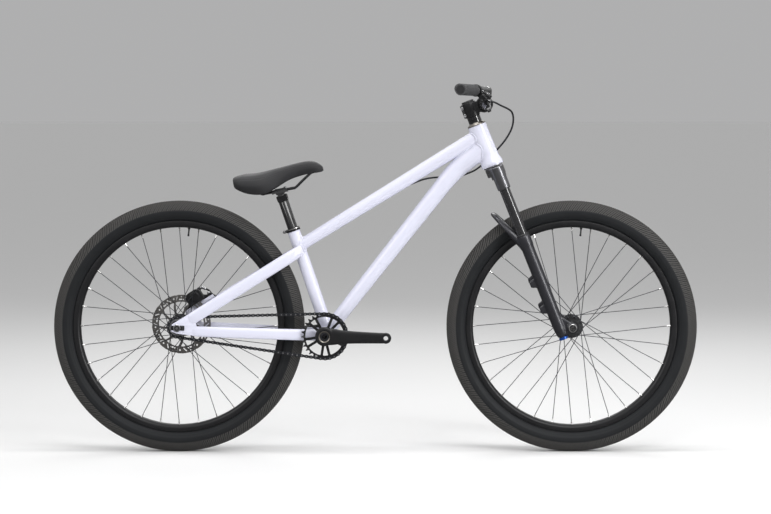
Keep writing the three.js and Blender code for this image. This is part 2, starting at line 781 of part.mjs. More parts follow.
// Dropouts: plates with a slot open to the rear, and the brake mount on the left one
const dropoutInner = rearHubWidth / 2;
const dropoutOuter = dropoutInner + dropoutThickness;
const stayAlong = (along, over) => [
  along * Math.cos(stayAngle * degree) - over * Math.sin(stayAngle * degree),
  along * Math.sin(stayAngle * degree) + over * Math.cos(stayAngle * degree),
];
const chainAlong = (along, over) => [
  along * chainstayLine.x - over * chainstayLine.z, along * chainstayLine.z + over * chainstayLine.x - chainstayRearDrop,
];
const stayHalf = seatstayHeight / 2;
const tipTop = stayAlong((-dropoutTip + stayHalf * Math.sin(stayAngle * degree)) / Math.cos(stayAngle * degree), stayHalf);
const chainstayHalf = mix(chainstayRearHeight, chainstayFrontHeight, chainstayShares[0][0]) / 2;
const chainstayFoot = -chainstayHalf - chainstayRearDrop;
const plateFront = chainstayShares[0][0] * chainstayLength - fitGap;
// The plate's front above and behind the weld, then its lower edge to the tip, as shares of front, foot and tip
const plateNeckShare = 0.94;
const plateFootShares = [0.4, 0.88];
const plateHeelShares = [0.12, 0.72];
const slotLipShare = 1.25;
const dropoutOutline = [
  tipTop,
  stayAlong(stayStart - fitGap, stayHalf),
  stayAlong(stayStart - fitGap, -stayHalf),
  chainAlong(plateFront * plateNeckShare, chainstayHalf),
  chainAlong(plateFront, chainstayHalf),
  chainAlong(plateFront, -chainstayHalf),
  [plateFront * plateFootShares[0], chainstayFoot * plateFootShares[1]],
  [-dropoutTip * plateHeelShares[0], chainstayFoot * plateHeelShares[1]],
  [-dropoutTip, -slotHalfHeight * slotLipShare],
  [-dropoutTip, -slotHalfHeight],
  [slotDepth - slotHalfHeight / 3, -slotHalfHeight],
  [slotDepth, -slotHalfHeight / 2],
  [slotDepth, slotHalfHeight / 2],
  [slotDepth - slotHalfHeight / 3, slotHalfHeight],
  [-dropoutTip, slotHalfHeight],
];
const dropoutLeft = plate(dropoutOutline, dropoutInner, dropoutOuter);
piece(rearWheel, "dropout_right", mirrored(dropoutLeft), framePaint);
const mountStart = caliperAlong - caliperMountSpacing / 2 - caliperEarRadius;
const mountEnd = caliperAlong + caliperMountSpacing / 2 + caliperEarRadius;
const mountRail = plate(
  [
    stayAlong(mountStart, stayHalf / 2), stayAlong(stayStart - fitGap, stayHalf / 2),
    stayAlong(stayStart - fitGap, stayHalf + runGap), stayAlong(mountEnd, stayHalf + runGap),
    stayAlong(mountEnd, mountRailTop), stayAlong(mountStart, mountRailTop),
  ],
  mountRailInner, mountRailOuter,
);
piece(rearWheel, "dropout_left", joined(dropoutLeft, mountRail), framePaint);

// Chain tensioner block in the slot of the right dropout
const tensionerFront = slotDepth - fitGap;
const tensionerBack = tensionerFront - tensionerLength;
const tensionerHalf = slotHalfHeight - fitGap;
piece(
  rearWheel, "chain_tensioner",
  joined(
    block(
      [tensionerBack, tensionerFront - slotHalfHeight / 3],
      [-dropoutOuter - tensionerStand, -dropoutInner], [-tensionerHalf, tensionerHalf],
    ),
    block(
      [tensionerBack, tensionerFront],
      [-dropoutOuter - tensionerStand, -dropoutOuter - fitGap], [-tensionerHalf - fitGap, tensionerHalf + runGap],
    ),
  ),
  satinBlack,
);

// Caliper over the rotor, with two mounting ears and a pad in each half
const padInnerFace = rotorPlane - rotorThickness / 2 - padClearance;
const padOuterFace = rotorPlane + rotorThickness / 2 + padClearance;
const pocketInner = padInnerFace - padThickness - fitGap;
const pocketOuter = padOuterFace + padThickness + fitGap;
const caliperHalfLength = caliperLength / 2;
const caliperBlock = plate(
  [
    [caliperAlong - caliperHalfLength, caliperFoot], [caliperAlong + caliperHalfLength, caliperFoot],
    [caliperAlong + caliperHalfLength, caliperTop - caliperCorner],
    [caliperAlong + caliperHalfLength - caliperCorner, caliperTop],
    [caliperAlong - caliperHalfLength + caliperCorner, caliperTop],
    [caliperAlong - caliperHalfLength, caliperTop - caliperCorner],
  ],
  pocketInner - caliperHalfDepth, pocketOuter + caliperHalfDepth,
);
const caliperEars = block(
  [mountStart, mountEnd], [mountRailInner + fitGap, mountRailOuter],
  [mountRailTop + fitGap, mountRailTop + caliperEarRadius],
);
const rotorSlot = disc(rotorRadius + 2 * padClearance + runGap, pocketInner, pocketOuter, wheelFacets);
piece(stayFrame, "brake_caliper", cut(joined(caliperBlock, caliperEars), rotorSlot), satinBlack);

// Pads: as high as the braking band and ending with the rotor's edge
const padEnd = caliperAlong + padLength / 3;
const padPlate = (low, high) =>
  kept(
    block([padEnd - padLength, padEnd], [low, high], [caliperFoot + runGap, caliperTop - caliperHalfDepth]),
    cut(disc(rotorRadius, low, high, wheelFacets), disc(rotorRadius - rotorBandWidth, low, high, wheelFacets)),
  );
piece(stayFrame, "brake_pad_inner", padPlate(padInnerFace - padThickness, padInnerFace), steel);
piece(stayFrame, "brake_pad_outer", padPlate(padOuterFace, padOuterFace + padThickness), steel);

// Seat clamp, seatpost and saddle clamp
const clampOuter = seatTubeRadius + fitGap + seatClampWall;
const clampAboveShare = 0.2;
const clampBelow = -seatClampHeight * (1 - clampAboveShare);
const clampAbove = seatClampHeight * clampAboveShare;
const clampRing = upright(collar(seatTubeRadius + fitGap, clampOuter, clampBelow, clampAbove, tubeFacets));
const clampEars = block(
  [-clampOuter - seatClampEar, -seatTubeRadius - seatClampWall / 2], [-seatClampEar, seatClampEar],
  [clampBelow, clampAbove],
);
const clampSlot = block(
  [-clampOuter - seatClampEar - overrun, -seatTubeRadius / 2], [-seatClampSlot / 2, seatClampSlot / 2],
  [-seatClampHeight, seatClampHeight],
);
piece(seatFrame, "seat_clamp", cut(joined(clampRing, clampEars), clampSlot), steel);

const postBore = seatpostRadius - seatpostWall;
const postHeadFoot = seatpostExposed - postHeadRadius - clampHeight;
const postTube = upright(
  turned([
    [seatpostRadius, -seatpostInserted], [seatpostRadius, postHeadFoot], [0, postHeadFoot],
    [0, postHeadFoot - seatpostWall], [postBore, postHeadFoot - seatpostWall], [postBore, -seatpostInserted],
  ], tubeFacets),
);
const postHeadCut = disc(clearOf(postHeadRadius, tubeFacets), -postHeadWidth, postHeadWidth, tubeFacets);
const cradleDepthShare = 0.83;
const postHeadBlock = block(
  [-seatpostRadius, seatpostRadius], [-postHeadWidth / 2, postHeadWidth / 2],
  [postHeadFoot - seatpostWall, seatpostExposed - postHeadRadius * cradleDepthShare],
);
piece(
  seatFrame, "seatpost",
  cut(joined(postTube, postHeadBlock), shifted(postHeadCut, 0, 0, seatpostExposed)),
  glossBlack,
);

const railRise = saddleBaseHeight - railRadius - fitGap;
const railHoleRadius = clearOf(railRadius, smallFacets);
const railHole = (side) =>
  rod([vec(-clampLength, side * railSpread, 0), vec(clampLength, side * railSpread, 0)], railHoleRadius, smallFacets);
const clampRocker = disc(postHeadRadius, -postHeadWidth / 2, postHeadWidth / 2, tubeFacets);
const clampPlate = block(
  [-clampLength / 2, clampLength / 2], [-clampWidth / 2, clampWidth / 2], [-clampHeight / 2, clampHeight / 2],
);
const rockerTop = block([-clampLength, clampLength], [-clampWidth, clampWidth], [clampHeight / 2, clampWidth]);
piece(
  saddleFrame, "saddle_clamp",
  cut(joined(cut(clampRocker, rockerTop), clampPlate), railHole(1), railHole(-1)),
  satinBlack,
);

// Saddle rails: one rod bent like a hairpin, its bend under the nose
// Places along one side: along the reach, across the spread and up the rise, straight where the clamp slides
const railTension = 0.4;
const railShares = [
  [-1, 1.1, 1], [-0.75, 1.05, 0.5], [-0.5, 1, 0], [-0.435, 1, 0], [0, 1, 0],
  [0.424, 1, 0], [0.4565, 1, 0], [0.728, 0.8, 0.5], [1, 0.5, 0.97], [1.08, 0, 1],
];
const railPlaces = railShares.map(([along, across, up]) => vec(along * railReach, across * railSpread, up * railRise));
const railCurve = new THREE.CatmullRomCurve3(railPlaces, false, "catmullrom", railTension);
const railHalf = railCurve.getPoints(railSteps);
const railPath = [...railHalf, ...railHalf.slice(0, -1).reverse().map((point) => vec(point.x, -point.y, point.z))];
piece(saddleFrame, "saddle_rails", rod(railPath, railRadius, hoseSides), satinBlack);

// Saddle base: a plate under the pad, narrow at the nose
const baseShares = [[-0.88, 0.55], [-0.7, 0.88], [-0.4, 0.92], [0, 0.54], [0.4, 0.36], [0.8, 0.26], [0.98, 0.17]];
const baseEdge = baseShares.map(([along, across]) => [along * saddleRearReach, (across * saddleBaseWidth) / 2]);
const baseOutline = [...baseEdge.map(([x, y]) => [x, -y]), ...[...baseEdge].reverse()];
piece(
  saddleFrame, "saddle_base",
  flat(baseOutline, saddleBaseHeight, saddleBaseHeight + saddleBaseThickness),
  satinBlack,
);

// Saddle pad: crowned, with its skirt drawn in and its nose turned down
// Each station: along the saddle, half width, top and skirt, as shares of length, width and crown
const padStationShares = [
  [0, 0.22, 0.84, 0.66], [0.05, 0.38, 0.99, 0.42], [0.13, 0.475, 1.02, 0.2], [0.26, 0.48, 0.95, 0],
  [0.36, 0.42, 0.96, 0.02], [0.46, 0.31, 0.985, 0.16], [0.57, 0.235, 1.01, 0.34], [0.7, 0.19, 1.04, 0.45],
  [0.84, 0.16, 1.06, 0.5], [0.93, 0.135, 0.98, 0.5], [0.985, 0.075, 0.78, 0.52],
];
// Places round the pad's section, from the middle of the top: across, and down from top to skirt
const padSectionShares = [[0, 0], [0.35, 0.015], [0.66, 0.09], [0.88, 0.27], [1, 0.6], [0.97, 0.86], [0.88, 1], [0.76, 0.9]];
const padUnderside = saddleBaseHeight + saddleBaseThickness + fitGap;

// The pad's underside: across its inner edge, and down to it and to the middle
const padInnerShare = 0.62;
const padUnderShares = [0.7, 0.62];

function padBody() {
  const rings = padStationShares.map(([along, half, top, skirt]) => {
    const x = -saddleRearReach + along * saddleLength;
    const high = top * saddleCrown;
    const low = skirt * saddleCrown;
    const right = padSectionShares.map(([across, down]) => vec(x, -across * half * saddleWidth, mix(high, low, down)));
    const inner = vec(x, -half * saddleWidth * padInnerShare, Math.max(padUnderside, mix(high, low, padUnderShares[0])));
    const middle = vec(x, 0, Math.max(padUnderside, mix(high, low, padUnderShares[1])));
    const side = [...right, inner];
    const left = side.slice(1).reverse().map((point) => vec(point.x, -point.y, point.z));
    return [...side, middle, ...left];
  });
  return skinned(rings);
}

piece(saddleFrame, "saddle_pad", padBody(), saddleCover);

// Headset bearings, cover and spacer
const bearingLower = upright(
  collar(
    clearOf(steererFootRadius, turnedFacets), bearingSeatRadius - fitGap, fitGap - crownTop, bearingSeatDepth - fitGap,
  ),
);
piece(headFrame, "headset_bearing_lower", bearingLower, steel);
const bearingUpper = upright(
  collar(steererRadius + fitGap, headTubeBore - fitGap, headTubeLength - bearingSeatDepth, headTubeLength),
);
piece(headFrame, "headset_bearing_upper", bearingUpper, steel);
const coverTop = headTubeLength + headsetCoverHeight;
const coverProfile = [
  [steererRadius + fitGap, headTubeLength + fitGap], [headTubeTopRadius, headTubeLength + fitGap],
  [headTubeTopRadius, headTubeLength + headsetCoverHeight / 3], [spacerRadius, coverTop], [steererRadius + fitGap, coverTop],
];
piece(headFrame, "headset_cover", upright(turned(coverProfile, tubeFacets)), champagne);
const spacerTop = coverTop + spacerHeight;
const stemFoot = spacerTop + fitGap;
const stemTop = stemFoot + stemHeight;
piece(
  headFrame, "headset_spacer",
  upright(collar(steererRadius + fitGap, spacerRadius, coverTop + fitGap, spacerTop)),
  satinBlack,
);

// Crown and steerer in one
const stanchionSide = stanchionSpacing / 2;
const steererTop = stemTop - steererShort;
const crownBlendShare = 0.8;
const crownBlend = crownBossRadius * crownBlendShare;
const crownOutline = [
  [-crownBossRadius, 0], [-crownNeckWidth / 2 - crownTop, stanchionSide / 3], [legAhead - crownBlend, stanchionSide],
  [legAhead + crownBlend, stanchionSide], [crownNeckWidth / 2 + legAhead, stanchionSide / 3],
  [crownBossRadius + legAhead, 0],
];
const crownCentre = flat(
  [...crownOutline, ...crownOutline.slice(1, -1).reverse().map(([x, y]) => [x, -y])],
  -crownTop - crownHeight, -crownTop,
);
const besideSteerer = (body, side) => shifted(body, legAhead, side * stanchionSide, 0);
const crownBoss = upright(disc(crownBossRadius, -crownBossDepth, -crownTop));
const stanchionHole = upright(disc(stanchionRadius + fitGap, -crownBossDepth - overrun, overrun));
const steerer = upright(
  turned([
    [0, -crownTop - crownHeight / 2], [steererFootRadius, -crownTop - crownHeight / 2],
    [steererFootRadius, bearingSeatDepth],
    [steererRadius, headTubeLength / 2], [steererRadius, steererTop], [0, steererTop],
  ]),
);
const steererHole = upright(disc(steererBore, -crownTop - crownHeight - overrun, steererTop + overrun));
piece(
  headFrame, "fork_crown",
  cut(
    joined(crownCentre, besideSteerer(crownBoss, 1), besideSteerer(crownBoss, -1), steerer),
    besideSteerer(stanchionHole, 1), besideSteerer(stanchionHole, -1), steererHole,
  ),
  crownGrey,
);

// Stanchions: tubes closed at the top by their caps
const stanchionBore = stanchionRadius - stanchionWall;
const stanchion = upright(
  turned([
    [0, -crownTop], [stanchionRadius, -crownTop], [stanchionRadius, -stanchionLength],
    [stanchionBore, -stanchionLength], [stanchionBore, -crownTop - stanchionWall], [0, -crownTop - stanchionWall],
  ]),
);
piece(headFrame, "stanchion_right", besideSteerer(stanchion, -1), glossBlack);
piece(headFrame, "stanchion_left", besideSteerer(stanchion, 1), glossBlack);

// Lower legs, cast in one with the arch behind them
const collarFootShare = 0.8;
const legProfile = [
  [0, -legFoot], [legFootRadius, -legFoot], [legRadius, -legFoot + lugRadius], [legRadius, -legTop - legCollarHeight],
  [legCollarRadius, -legTop - legCollarHeight * collarFootShare], [legCollarRadius, -legTop - legCollarHeight / 3],
  [stanchionRadius + legCollarRadius - legRadius, -legTop], [0, -legTop],
];
const leg = upright(turned(legProfile));
const legBore = upright(disc(stanchionRadius + fitGap, -legBoreEnd, 0));
// Places up the arch from its foot to its crown: back, across and up, as shares of its back, half span and rise
const archShares = [[0.55, 0.86, 0.3], [0.88, 0.5, 0.82]];
const archSide = (side) => [
  vec(legAhead - legRadius / 2, side * stanchionSide, -legTop - legCollarHeight / 2),
  ...archShares.map(([back, across, up]) =>
    vec(mix(legAhead, -archBack, back), side * stanchionSide * across, -legTop + archRise * up),
  ),
];
const archCrown = vec(-archBack, 0, -legTop + archRise);
const archCurve = new THREE.CatmullRomCurve3([...archSide(-1), archCrown, ...archSide(1).reverse()]);
const archPath = archCurve.getPoints(archSteps);
const arch = swept({
  path: archPath,
  halfWidths: archPath.map(() => archHalfThickness),
  halfHeights: archPath.map(() => archHalfHeight),
  hint: vec(-Math.SQRT1_2, 0, Math.SQRT1_2),
  sides: smallFacets,
});
// The web's lower rear corner, nose and upper rear corner, as shares of the lug's radius
const lugShares = [0.4, 0.6, 4];
const lugOutline = [
  [legAhead, -legFoot + lugRadius * lugShares[0]], [forkOffset, -forkLength - lugRadius],
  [forkOffset + lugRadius * lugShares[1], -forkLength],
  [forkOffset, -forkLength + lugRadius], [legAhead, -forkLength + lugRadius * lugShares[2]],
];
const lugWeb = plate(lugOutline, lugWebInner, lugWebOuter);
const lug = shifted(disc(lugRadius, frontHubWidth / 2 + fitGap, lugOuter), forkOffset, 0, -forkLength);
const lowerSide = joined(besideSteerer(leg, 1), lugWeb, lug);
const brakePost = (drop) =>
  plate(
    [
      [legAhead - brakePostReach, -drop - brakePostRadius], [legAhead, -drop - brakePostRadius * 2],
      [legAhead, -drop + brakePostRadius * 2], [legAhead - brakePostReach, -drop + brakePostRadius],
    ],
    stanchionSide - brakePostRadius, stanchionSide + brakePostRadius,
  );
const lowers = cut(
  joined(lowerSide, mirrored(lowerSide), arch, brakePost(brakePostDrop), brakePost(brakePostDrop - brakePostSpacing)),
  besideSteerer(legBore, 1), besideSteerer(legBore, -1),
  shifted(disc(frontAxleRadius + fitGap, -lugOuter - overrun, lugOuter + overrun), forkOffset, 0, -forkLength),
);
piece(headFrame, "fork_lowers", lowers, forkGrey);

// Front thru axle, hollow, with a head at each end
const axleInside = lugOuter + fitGap;
const axleOutside = axleInside + frontAxleHeadThickness;
const frontAxleBody = turned([
  [frontAxleBore, -axleOutside], [frontAxleHeadRadius, -axleOutside], [frontAxleHeadRadius, -axleInside],
  [frontAxleRadius, -axleInside], [frontAxleRadius, axleInside], [frontAxleHeadRadius, axleInside],
  [frontAxleHeadRadius, axleOutside], [frontAxleBore, axleOutside],
]);
piece(frontWheel, "front_axle", frontAxleBody, steel);

const knob = upright(disc(knobRadius, -legFoot - fitGap - knobHeight, -legFoot - fitGap));
piece(headFrame, "rebound_knob", besideSteerer(knob, -1), blueAnodised);

// Stem, faceplate and top cap
const barHeight = (stemFoot + stemTop) / 2;
const stemPost = upright(disc(stemClampRadius, stemFoot, stemTop));
const stemNeck = block(
  [0, stemReach], [-stemNeckWidth / 2, stemNeckWidth / 2],
  [barHeight - stemNeckHeight / 2, barHeight + stemNeckHeight / 2],
);
const barClamp = shifted(disc(barClampRadius, -barClampWidth / 2, barClampWidth / 2, tubeFacets), stemReach, 0, barHeight);
const barHole = shifted(disc(barRadius + fitGap, -barClampWidth, barClampWidth, barSides), stemReach, 0, barHeight);
const stemSteererHole = upright(disc(steererRadius + fitGap, stemFoot - overrun, stemTop + overrun));
const aheadOf = (x) => block([x, x + wheelbase], [-barClampWidth, barClampWidth], [0, headTubeLength * 2]);
const clampWhole = joined(stemPost, stemNeck, barClamp);
piece(headFrame, "stem", cut(clampWhole, aheadOf(stemReach - faceplateGap / 2), barHole, stemSteererHole), satinBlack);
piece(headFrame, "stem_faceplate", cut(kept(barClamp, aheadOf(stemReach + faceplateGap / 2)), barHole), satinBlack);
piece(headFrame, "top_cap", upright(disc(topCapRadius, stemTop + fitGap, stemTop + fitGap + topCapHeight)), satinBlack);

// Handlebar: straight in the clamp, rising, then swept back to its ends
const sweepBack = Math.tan(barSweep * degree);
const sweepUp = Math.tan(barUpsweep * degree);
const barEndSpan = barHalfWidth - barBendEnd;
const bendEndAhead = stemReach + barAhead;
const barPoint = (side, along) => vec(
  bendEndAhead - (along - barBendEnd) * sweepBack, side * along, barHeight + barRise - (barHalfWidth - along) * sweepUp,
);
// The bend: its start inside the clamp, its first lift, its knee and the line beyond it
const barInsideShare = 0.55;
const barLiftShares = [1.4, 0.05, 0.1];
const barKneeShares = [0.7, 0.51];
const barBeyondShare = 1.3;
const barKnee = vec(
  bendEndAhead + barEndRadius * sweepBack, -(barBendEnd - barBendStart * barKneeShares[0]),
  barHeight + barRise * barKneeShares[1],
);
const barRiseCurve = new THREE.CatmullRomCurve3([
  vec(stemReach, -barClampWidth * barInsideShare, barHeight),
  vec(stemReach, -barBendStart, barHeight),
  vec(
    stemReach + barAhead * barLiftShares[2], -barBendStart * barLiftShares[0],
    barHeight + barRise * barLiftShares[1],
  ),
  barKnee, barPoint(-1, barBendEnd), barPoint(-1, barBendEnd * barBeyondShare),
]);
const barHalf = [...barRiseCurve.getPoints(barSteps), barPoint(-1, barHalfWidth - gripLength), barPoint(-1, barHalfWidth)];
const barPath = [...[...barHalf].reverse(), ...barHalf.map((point) => vec(point.x, -point.y, point.z))];
const barRadiusAt = (point) => {
  const share = Math.min(1, Math.max(0, (Math.abs(point.y) - barBendStart) / (barBendEnd - barBendStart)));
  return mix(barRadius, barEndRadius, share);
};
const barRadii = barPath.map(barRadiusAt);
const barTube = { path: barPath, halfWidths: barRadii, halfHeights: barRadii, sides: barSides };
const barBody = swept(barTube);
piece(headFrame, "handlebar", cut(barBody, swept(barTube, -seatpostWall, overrun)), glossBlack);

const gripStart = barPoint(-1, barHalfWidth - gripLength);
const gripEnd = barPoint(-1, barHalfWidth + gripCap);
const gripOutside = rod([gripStart, gripEnd], gripRadius, gripSides);
const gripInside = rod(
  [barPoint(-1, barHalfWidth - gripLength - overrun), barPoint(-1, barHalfWidth + fitGap)],
  barEndRadius + fitGap, barSides,
);
const gripBody = cut(gripOutside, gripInside);
piece(headFrame, "grip_right", gripBody, gripRubber);
piece(headFrame, "grip_left", mirrored(gripBody), gripRubber);

// Brake lever, in a frame of its own on the bar: X is its reach, Y points inboard along the bar
const leverInboard = barPoint(-1, leverPlace).sub(barPoint(-1, leverPlace + gripRadius)).normalize();
const leverReach = vec(Math.cos(leverReachAngle * degree), 0, -Math.sin(leverReachAngle * degree));
leverReach.addScaledVector(leverInboard, -leverReach.dot(leverInboard)).normalize();
const leverOver = leverReach.clone().cross(leverInboard);
const leverPlaceMatrix = new THREE.Matrix4()
  .makeBasis(leverReach, leverInboard, leverOver)
  .setPosition(barPoint(-1, leverPlace));
const leverFrame = group(leverPlaceMatrix);
headFrame.add(leverFrame);

const leverBarHole = disc(clearOf(barEndRadius, tubeFacets), -leverClampWidth, leverClampWidth, tubeFacets);
const leverClamp = disc(leverClampRadius, -leverClampWidth / 2, leverClampWidth / 2, tubeFacets);
const leverCylinder = shifted(disc(leverBodyRadius, -leverBodyOutboard, leverBodyInboard, smallFacets), leverBodyReach, 0, 0);
const leverNeck = block(
  [barEndRadius + fitGap, leverBodyReach], [-leverClampWidth / 2, leverClampWidth / 2], [-leverBodyRadius, leverBodyRadius],
);
// The tank on the cylinder: ahead, outboard, inboard and up, as shares of the body's sizes
const tankShares = { ahead: 1.2, outboard: 0.8, inboard: 0.55, up: 1.7 };
const leverTank = block(
  [leverBodyReach - leverBodyRadius, leverBodyReach + leverBodyRadius * tankShares.ahead],
  [-leverBodyOutboard * tankShares.outboard, leverBodyInboard * tankShares.inboard],
  [0, leverBodyRadius * tankShares.up],
);
const earOutline = [
  [leverBodyReach, -leverPivotOutboard + leverEarRadius], [leverPivotReach, -leverPivotOutboard + leverEarRadius],
  [leverPivotReach + leverEarRadius, -leverPivotOutboard], [leverPivotReach, -leverPivotOutboard - leverEarRadius],
  [leverBodyReach, -leverPivotOutboard - leverEarRadius],
];
const earLow = leverHalfThickness + fitGap;
const ear = flat(earOutline, earLow, earLow + leverEarThickness);
const earUnder = flat(earOutline, -earLow - leverEarThickness, -earLow);
const pivotPin = shifted(
  upright(disc(leverPivotRadius, -earLow - leverEarThickness / 2, earLow + leverEarThickness / 2, smallFacets)),
  leverPivotReach, -leverPivotOutboard, 0,
);
const leverWellShares = [0.75, 0.6];
const leverWell = block(
  [leverBodyReach + leverBodyRadius * leverWellShares[0], leverPivotReach + overrun],
  [-leverBodyOutboard - overrun, leverBodyInboard * leverWellShares[1]],
  [-earLow, earLow],
);
const leverBodySolid = joined(
  cut(joined(leverClamp, leverNeck, leverCylinder, leverTank, ear, earUnder), leverBarHole, leverWell), pivotPin,
);
piece(leverFrame, "brake_lever_body", leverBodySolid, satinBlack);

const bladePivotRadius = leverPivotRadius + runGap / 2;
// The blade's corners, as shares of its half width, its length and the pivot's place
const bladeShares = { heel: 1.4, front: 1.6, hook: 1.4, tip: 0.4, back: 0.6, waist: 0.6, elbow: 2.3 };
const bladeHalf = leverBladeWidth / 2;
const bladeTip = -leverPivotOutboard - leverBladeLength;
const bladeHeel = leverPivotReach - bladeHalf * bladeShares.heel;
const bladeOutline = [
  [bladeHeel, -leverPivotOutboard + bladeHalf],
  [leverPivotReach + bladeHalf, -leverPivotOutboard + bladeHalf * bladeShares.heel],
  [leverBladeReach + bladeHalf, -leverPivotOutboard * 2],
  [leverBladeReach + bladeHalf * bladeShares.front + leverBladeFlare / 2, bladeTip * bladeShares.waist],
  [leverBladeReach + bladeHalf * bladeShares.hook + leverBladeFlare, bladeTip],
  [leverBladeReach - bladeHalf * bladeShares.tip + leverBladeFlare, bladeTip],
  [leverBladeReach - bladeHalf * bladeShares.back + leverBladeFlare / 2, bladeTip * bladeShares.waist],
  [leverBladeReach - bladeHalf, -leverPivotOutboard * bladeShares.elbow],
  [bladeHeel, -leverPivotOutboard - bladeHalf],
];
const bladeHole = shifted(
  upright(disc(bladePivotRadius, -earLow - overrun, earLow + overrun, smallFacets)),
  leverPivotReach, -leverPivotOutboard, 0,
);
const blade = cut(flat(bladeOutline, -leverHalfThickness, leverHalfThickness), bladeHole);
piece(leverFrame, "brake_lever", blade, satinBlack);

// Bottom bracket cartridge with its two cups, spindle and cranks
const shellHalf = bracketShellWidth / 2;
const cupEnd = shellHalf + fitGap + cupLength;
piece(
  crankFrame, "bottom_bracket",
  turned([
    [spindleRadius + fitGap, -cupEnd], [cupRadius, -cupEnd], [cupRadius, -shellHalf - fitGap],
    [cartridgeRadius, -shellHalf - fitGap], [cartridgeRadius, shellHalf + fitGap], [cupRadius, shellHalf + fitGap],
    [cupRadius, cupEnd], [spindleRadius + fitGap, cupEnd],
  ], tubeFacets),
  satinBlack,
);
piece(crankFrame, "crank_spindle", collar(spindleBore, spindleRadius, -spindleEnd, spindleEnd), glossBlack);

const ringInnerFace = chainLine - sprocketThickness / 2;
const crankBoss = joined(
  disc(crankBossRadius, -crankBossOuter, -crankBossInner, tubeFacets),
  disc(ringBore - fitGap, -crankBossInner - fitGap, -cupEnd - runGap, tubeFacets),
);
// The arm's elbow, as shares of its length and of the way out, and its root's width
const armElbowShares = [0.3, 0.45];
const armRootShare = 1.2;
const armRoundness = 0.6;
const armOut = (inner, outer) => -(inner + outer) / 2;
const armElbowOut = mix(armOut(crankBossInner, crankBossOuter), armOut(crankEndInner, crankEndOuter), armElbowShares[1]);
const armPath = [
  vec(0, armOut(crankBossInner, crankBossOuter) - runGap, 0),
  vec(crankLength * armElbowShares[0], armElbowOut, 0),
  vec(crankLength, armOut(crankEndInner, crankEndOuter), 0),
];
const armHalfWidth = (crankEndOuter - crankEndInner) / 2;
const armBar = swept({
  path: armPath,
  halfWidths: [armHalfWidth * armRootShare, armHalfWidth, armHalfWidth],
  halfHeights: [crankArmRootHeight / 2, crankArmRootHeight / 2, crankEndRadius],
  sides: staySides,
  roundness: armRoundness,
});
const armEnd = shifted(disc(crankEndRadius, -crankEndOuter, -crankEndInner, tubeFacets), crankLength, 0, 0);
const spindleHole = disc(spindleRadius + fitGap, -crankEndOuter, -spindleBore, tubeFacets);
const pedalHole = shifted(disc(pedalHoleRadius, -crankEndOuter - overrun, 0, pedalHoleFacets), crankLength, 0, 0);
const armSolid = cut(joined(crankBoss, armBar, armEnd), spindleHole, pedalHole);
const pitched = (body, angle) => moved(body, new THREE.Matrix4().makeRotationY(-angle * degree));
piece(crankFrame, "crank_arm_right", pitched(armSolid, crankPitch), glossBlack);
piece(crankFrame, "crank_arm_left", pitched(mirrored(armSolid), crankPitch + 180), glossBlack);

// Sprockets and chain: the chain's run is measured in links
const pitchRadius = (teeth) => chainPitch / 2 / Math.sin(fullTurn / 2 / teeth);
const ringPitchRadius = pitchRadius(ringTeeth);
const cogPitchRadius = pitchRadius(cogTeeth);
const centreLine = Math.atan2(-bottomBracketDrop, bracketAhead);
const runTilt = Math.asin((ringPitchRadius - cogPitchRadius) / chainstayLength);
const runLinks = Math.sqrt(chainstayLength ** 2 - (ringPitchRadius - cogPitchRadius) ** 2) / chainPitch;
const ringWrapLinks = ((fullTurn / 2 + 2 * runTilt) / fullTurn) * ringTeeth;
const cogWrapLinks = ((fullTurn / 2 - 2 * runTilt) / fullTurn) * cogTeeth;
const loopLength = ringWrapLinks + cogWrapLinks + 2 * runLinks;
const chainLinks = 2 * Math.round(loopLength / 2);
const upperTangent = centreLine + fullTurn / 4 + runTilt;

// The place of a point so many links along the chain, and so far out from its pitch line
function chainPlace(links, out = 0) {
  const onRing = (angle) => [
    bracketAhead + (ringPitchRadius + out) * Math.cos(angle),
    -bottomBracketDrop + (ringPitchRadius + out) * Math.sin(angle),
  ];
  const onCog = (angle) => [(cogPitchRadius + out) * Math.cos(angle), (cogPitchRadius + out) * Math.sin(angle)];
  const lowerTangent = upperTangent - (ringWrapLinks / ringTeeth) * fullTurn;
  const along = (from, to, share) => [mix(from[0], to[0], share), mix(from[1], to[1], share)];
  if (links <= ringWrapLinks) return onRing(upperTangent - (links / ringTeeth) * fullTurn);
  const afterRing = links - ringWrapLinks;
  if (afterRing <= runLinks) return along(onRing(lowerTangent), onCog(lowerTangent), afterRing / runLinks);
  const afterRun = afterRing - runLinks;
  if (afterRun <= cogWrapLinks) return onCog(lowerTangent - (afterRun / cogTeeth) * fullTurn);
  return along(onCog(upperTangent), onRing(upperTangent), (afterRun - cogWrapLinks) / runLinks);
}

const linkStep = loopLength / chainLinks;
const ringPinAngle = upperTangent;
const cogPinOffset = Math.ceil((ringWrapLinks + runLinks) / linkStep) * linkStep - ringWrapLinks - runLinks;
const cogPinAngle = upperTangent - (ringWrapLinks / ringTeeth) * fullTurn - (cogPinOffset / cogTeeth) * fullTurn;

// Where a tooth rises and where its tip starts, as shares of the step from pin to pin
const toothShares = [0.28, 0.41];

function toothOutline(teeth, pinAngle) {
  const radius = pitchRadius(teeth);
  const step = fullTurn / teeth;
  const [rootShare, tipShare] = toothShares;
  const corners = [
    [rootShare, -toothRootDepth], [tipShare, toothTipHeight], [1 - tipShare, toothTipHeight], [1 - rootShare, -toothRootDepth],
  ];
  return Array.from({ length: teeth }, (_, k) =>
    corners.map(([share, height]) => {
      const angle = pinAngle + (k + share) * step;
      return [(radius + height) * Math.cos(angle), (radius + height) * Math.sin(angle)];
    }),
  ).flat();
}

const circleHole = (radius, facets) =>
  Array.from({ length: facets }, (_, k) => [
    radius * Math.cos((k / facets) * fullTurn), radius * Math.sin((k / facets) * fullTurn),
  ]);

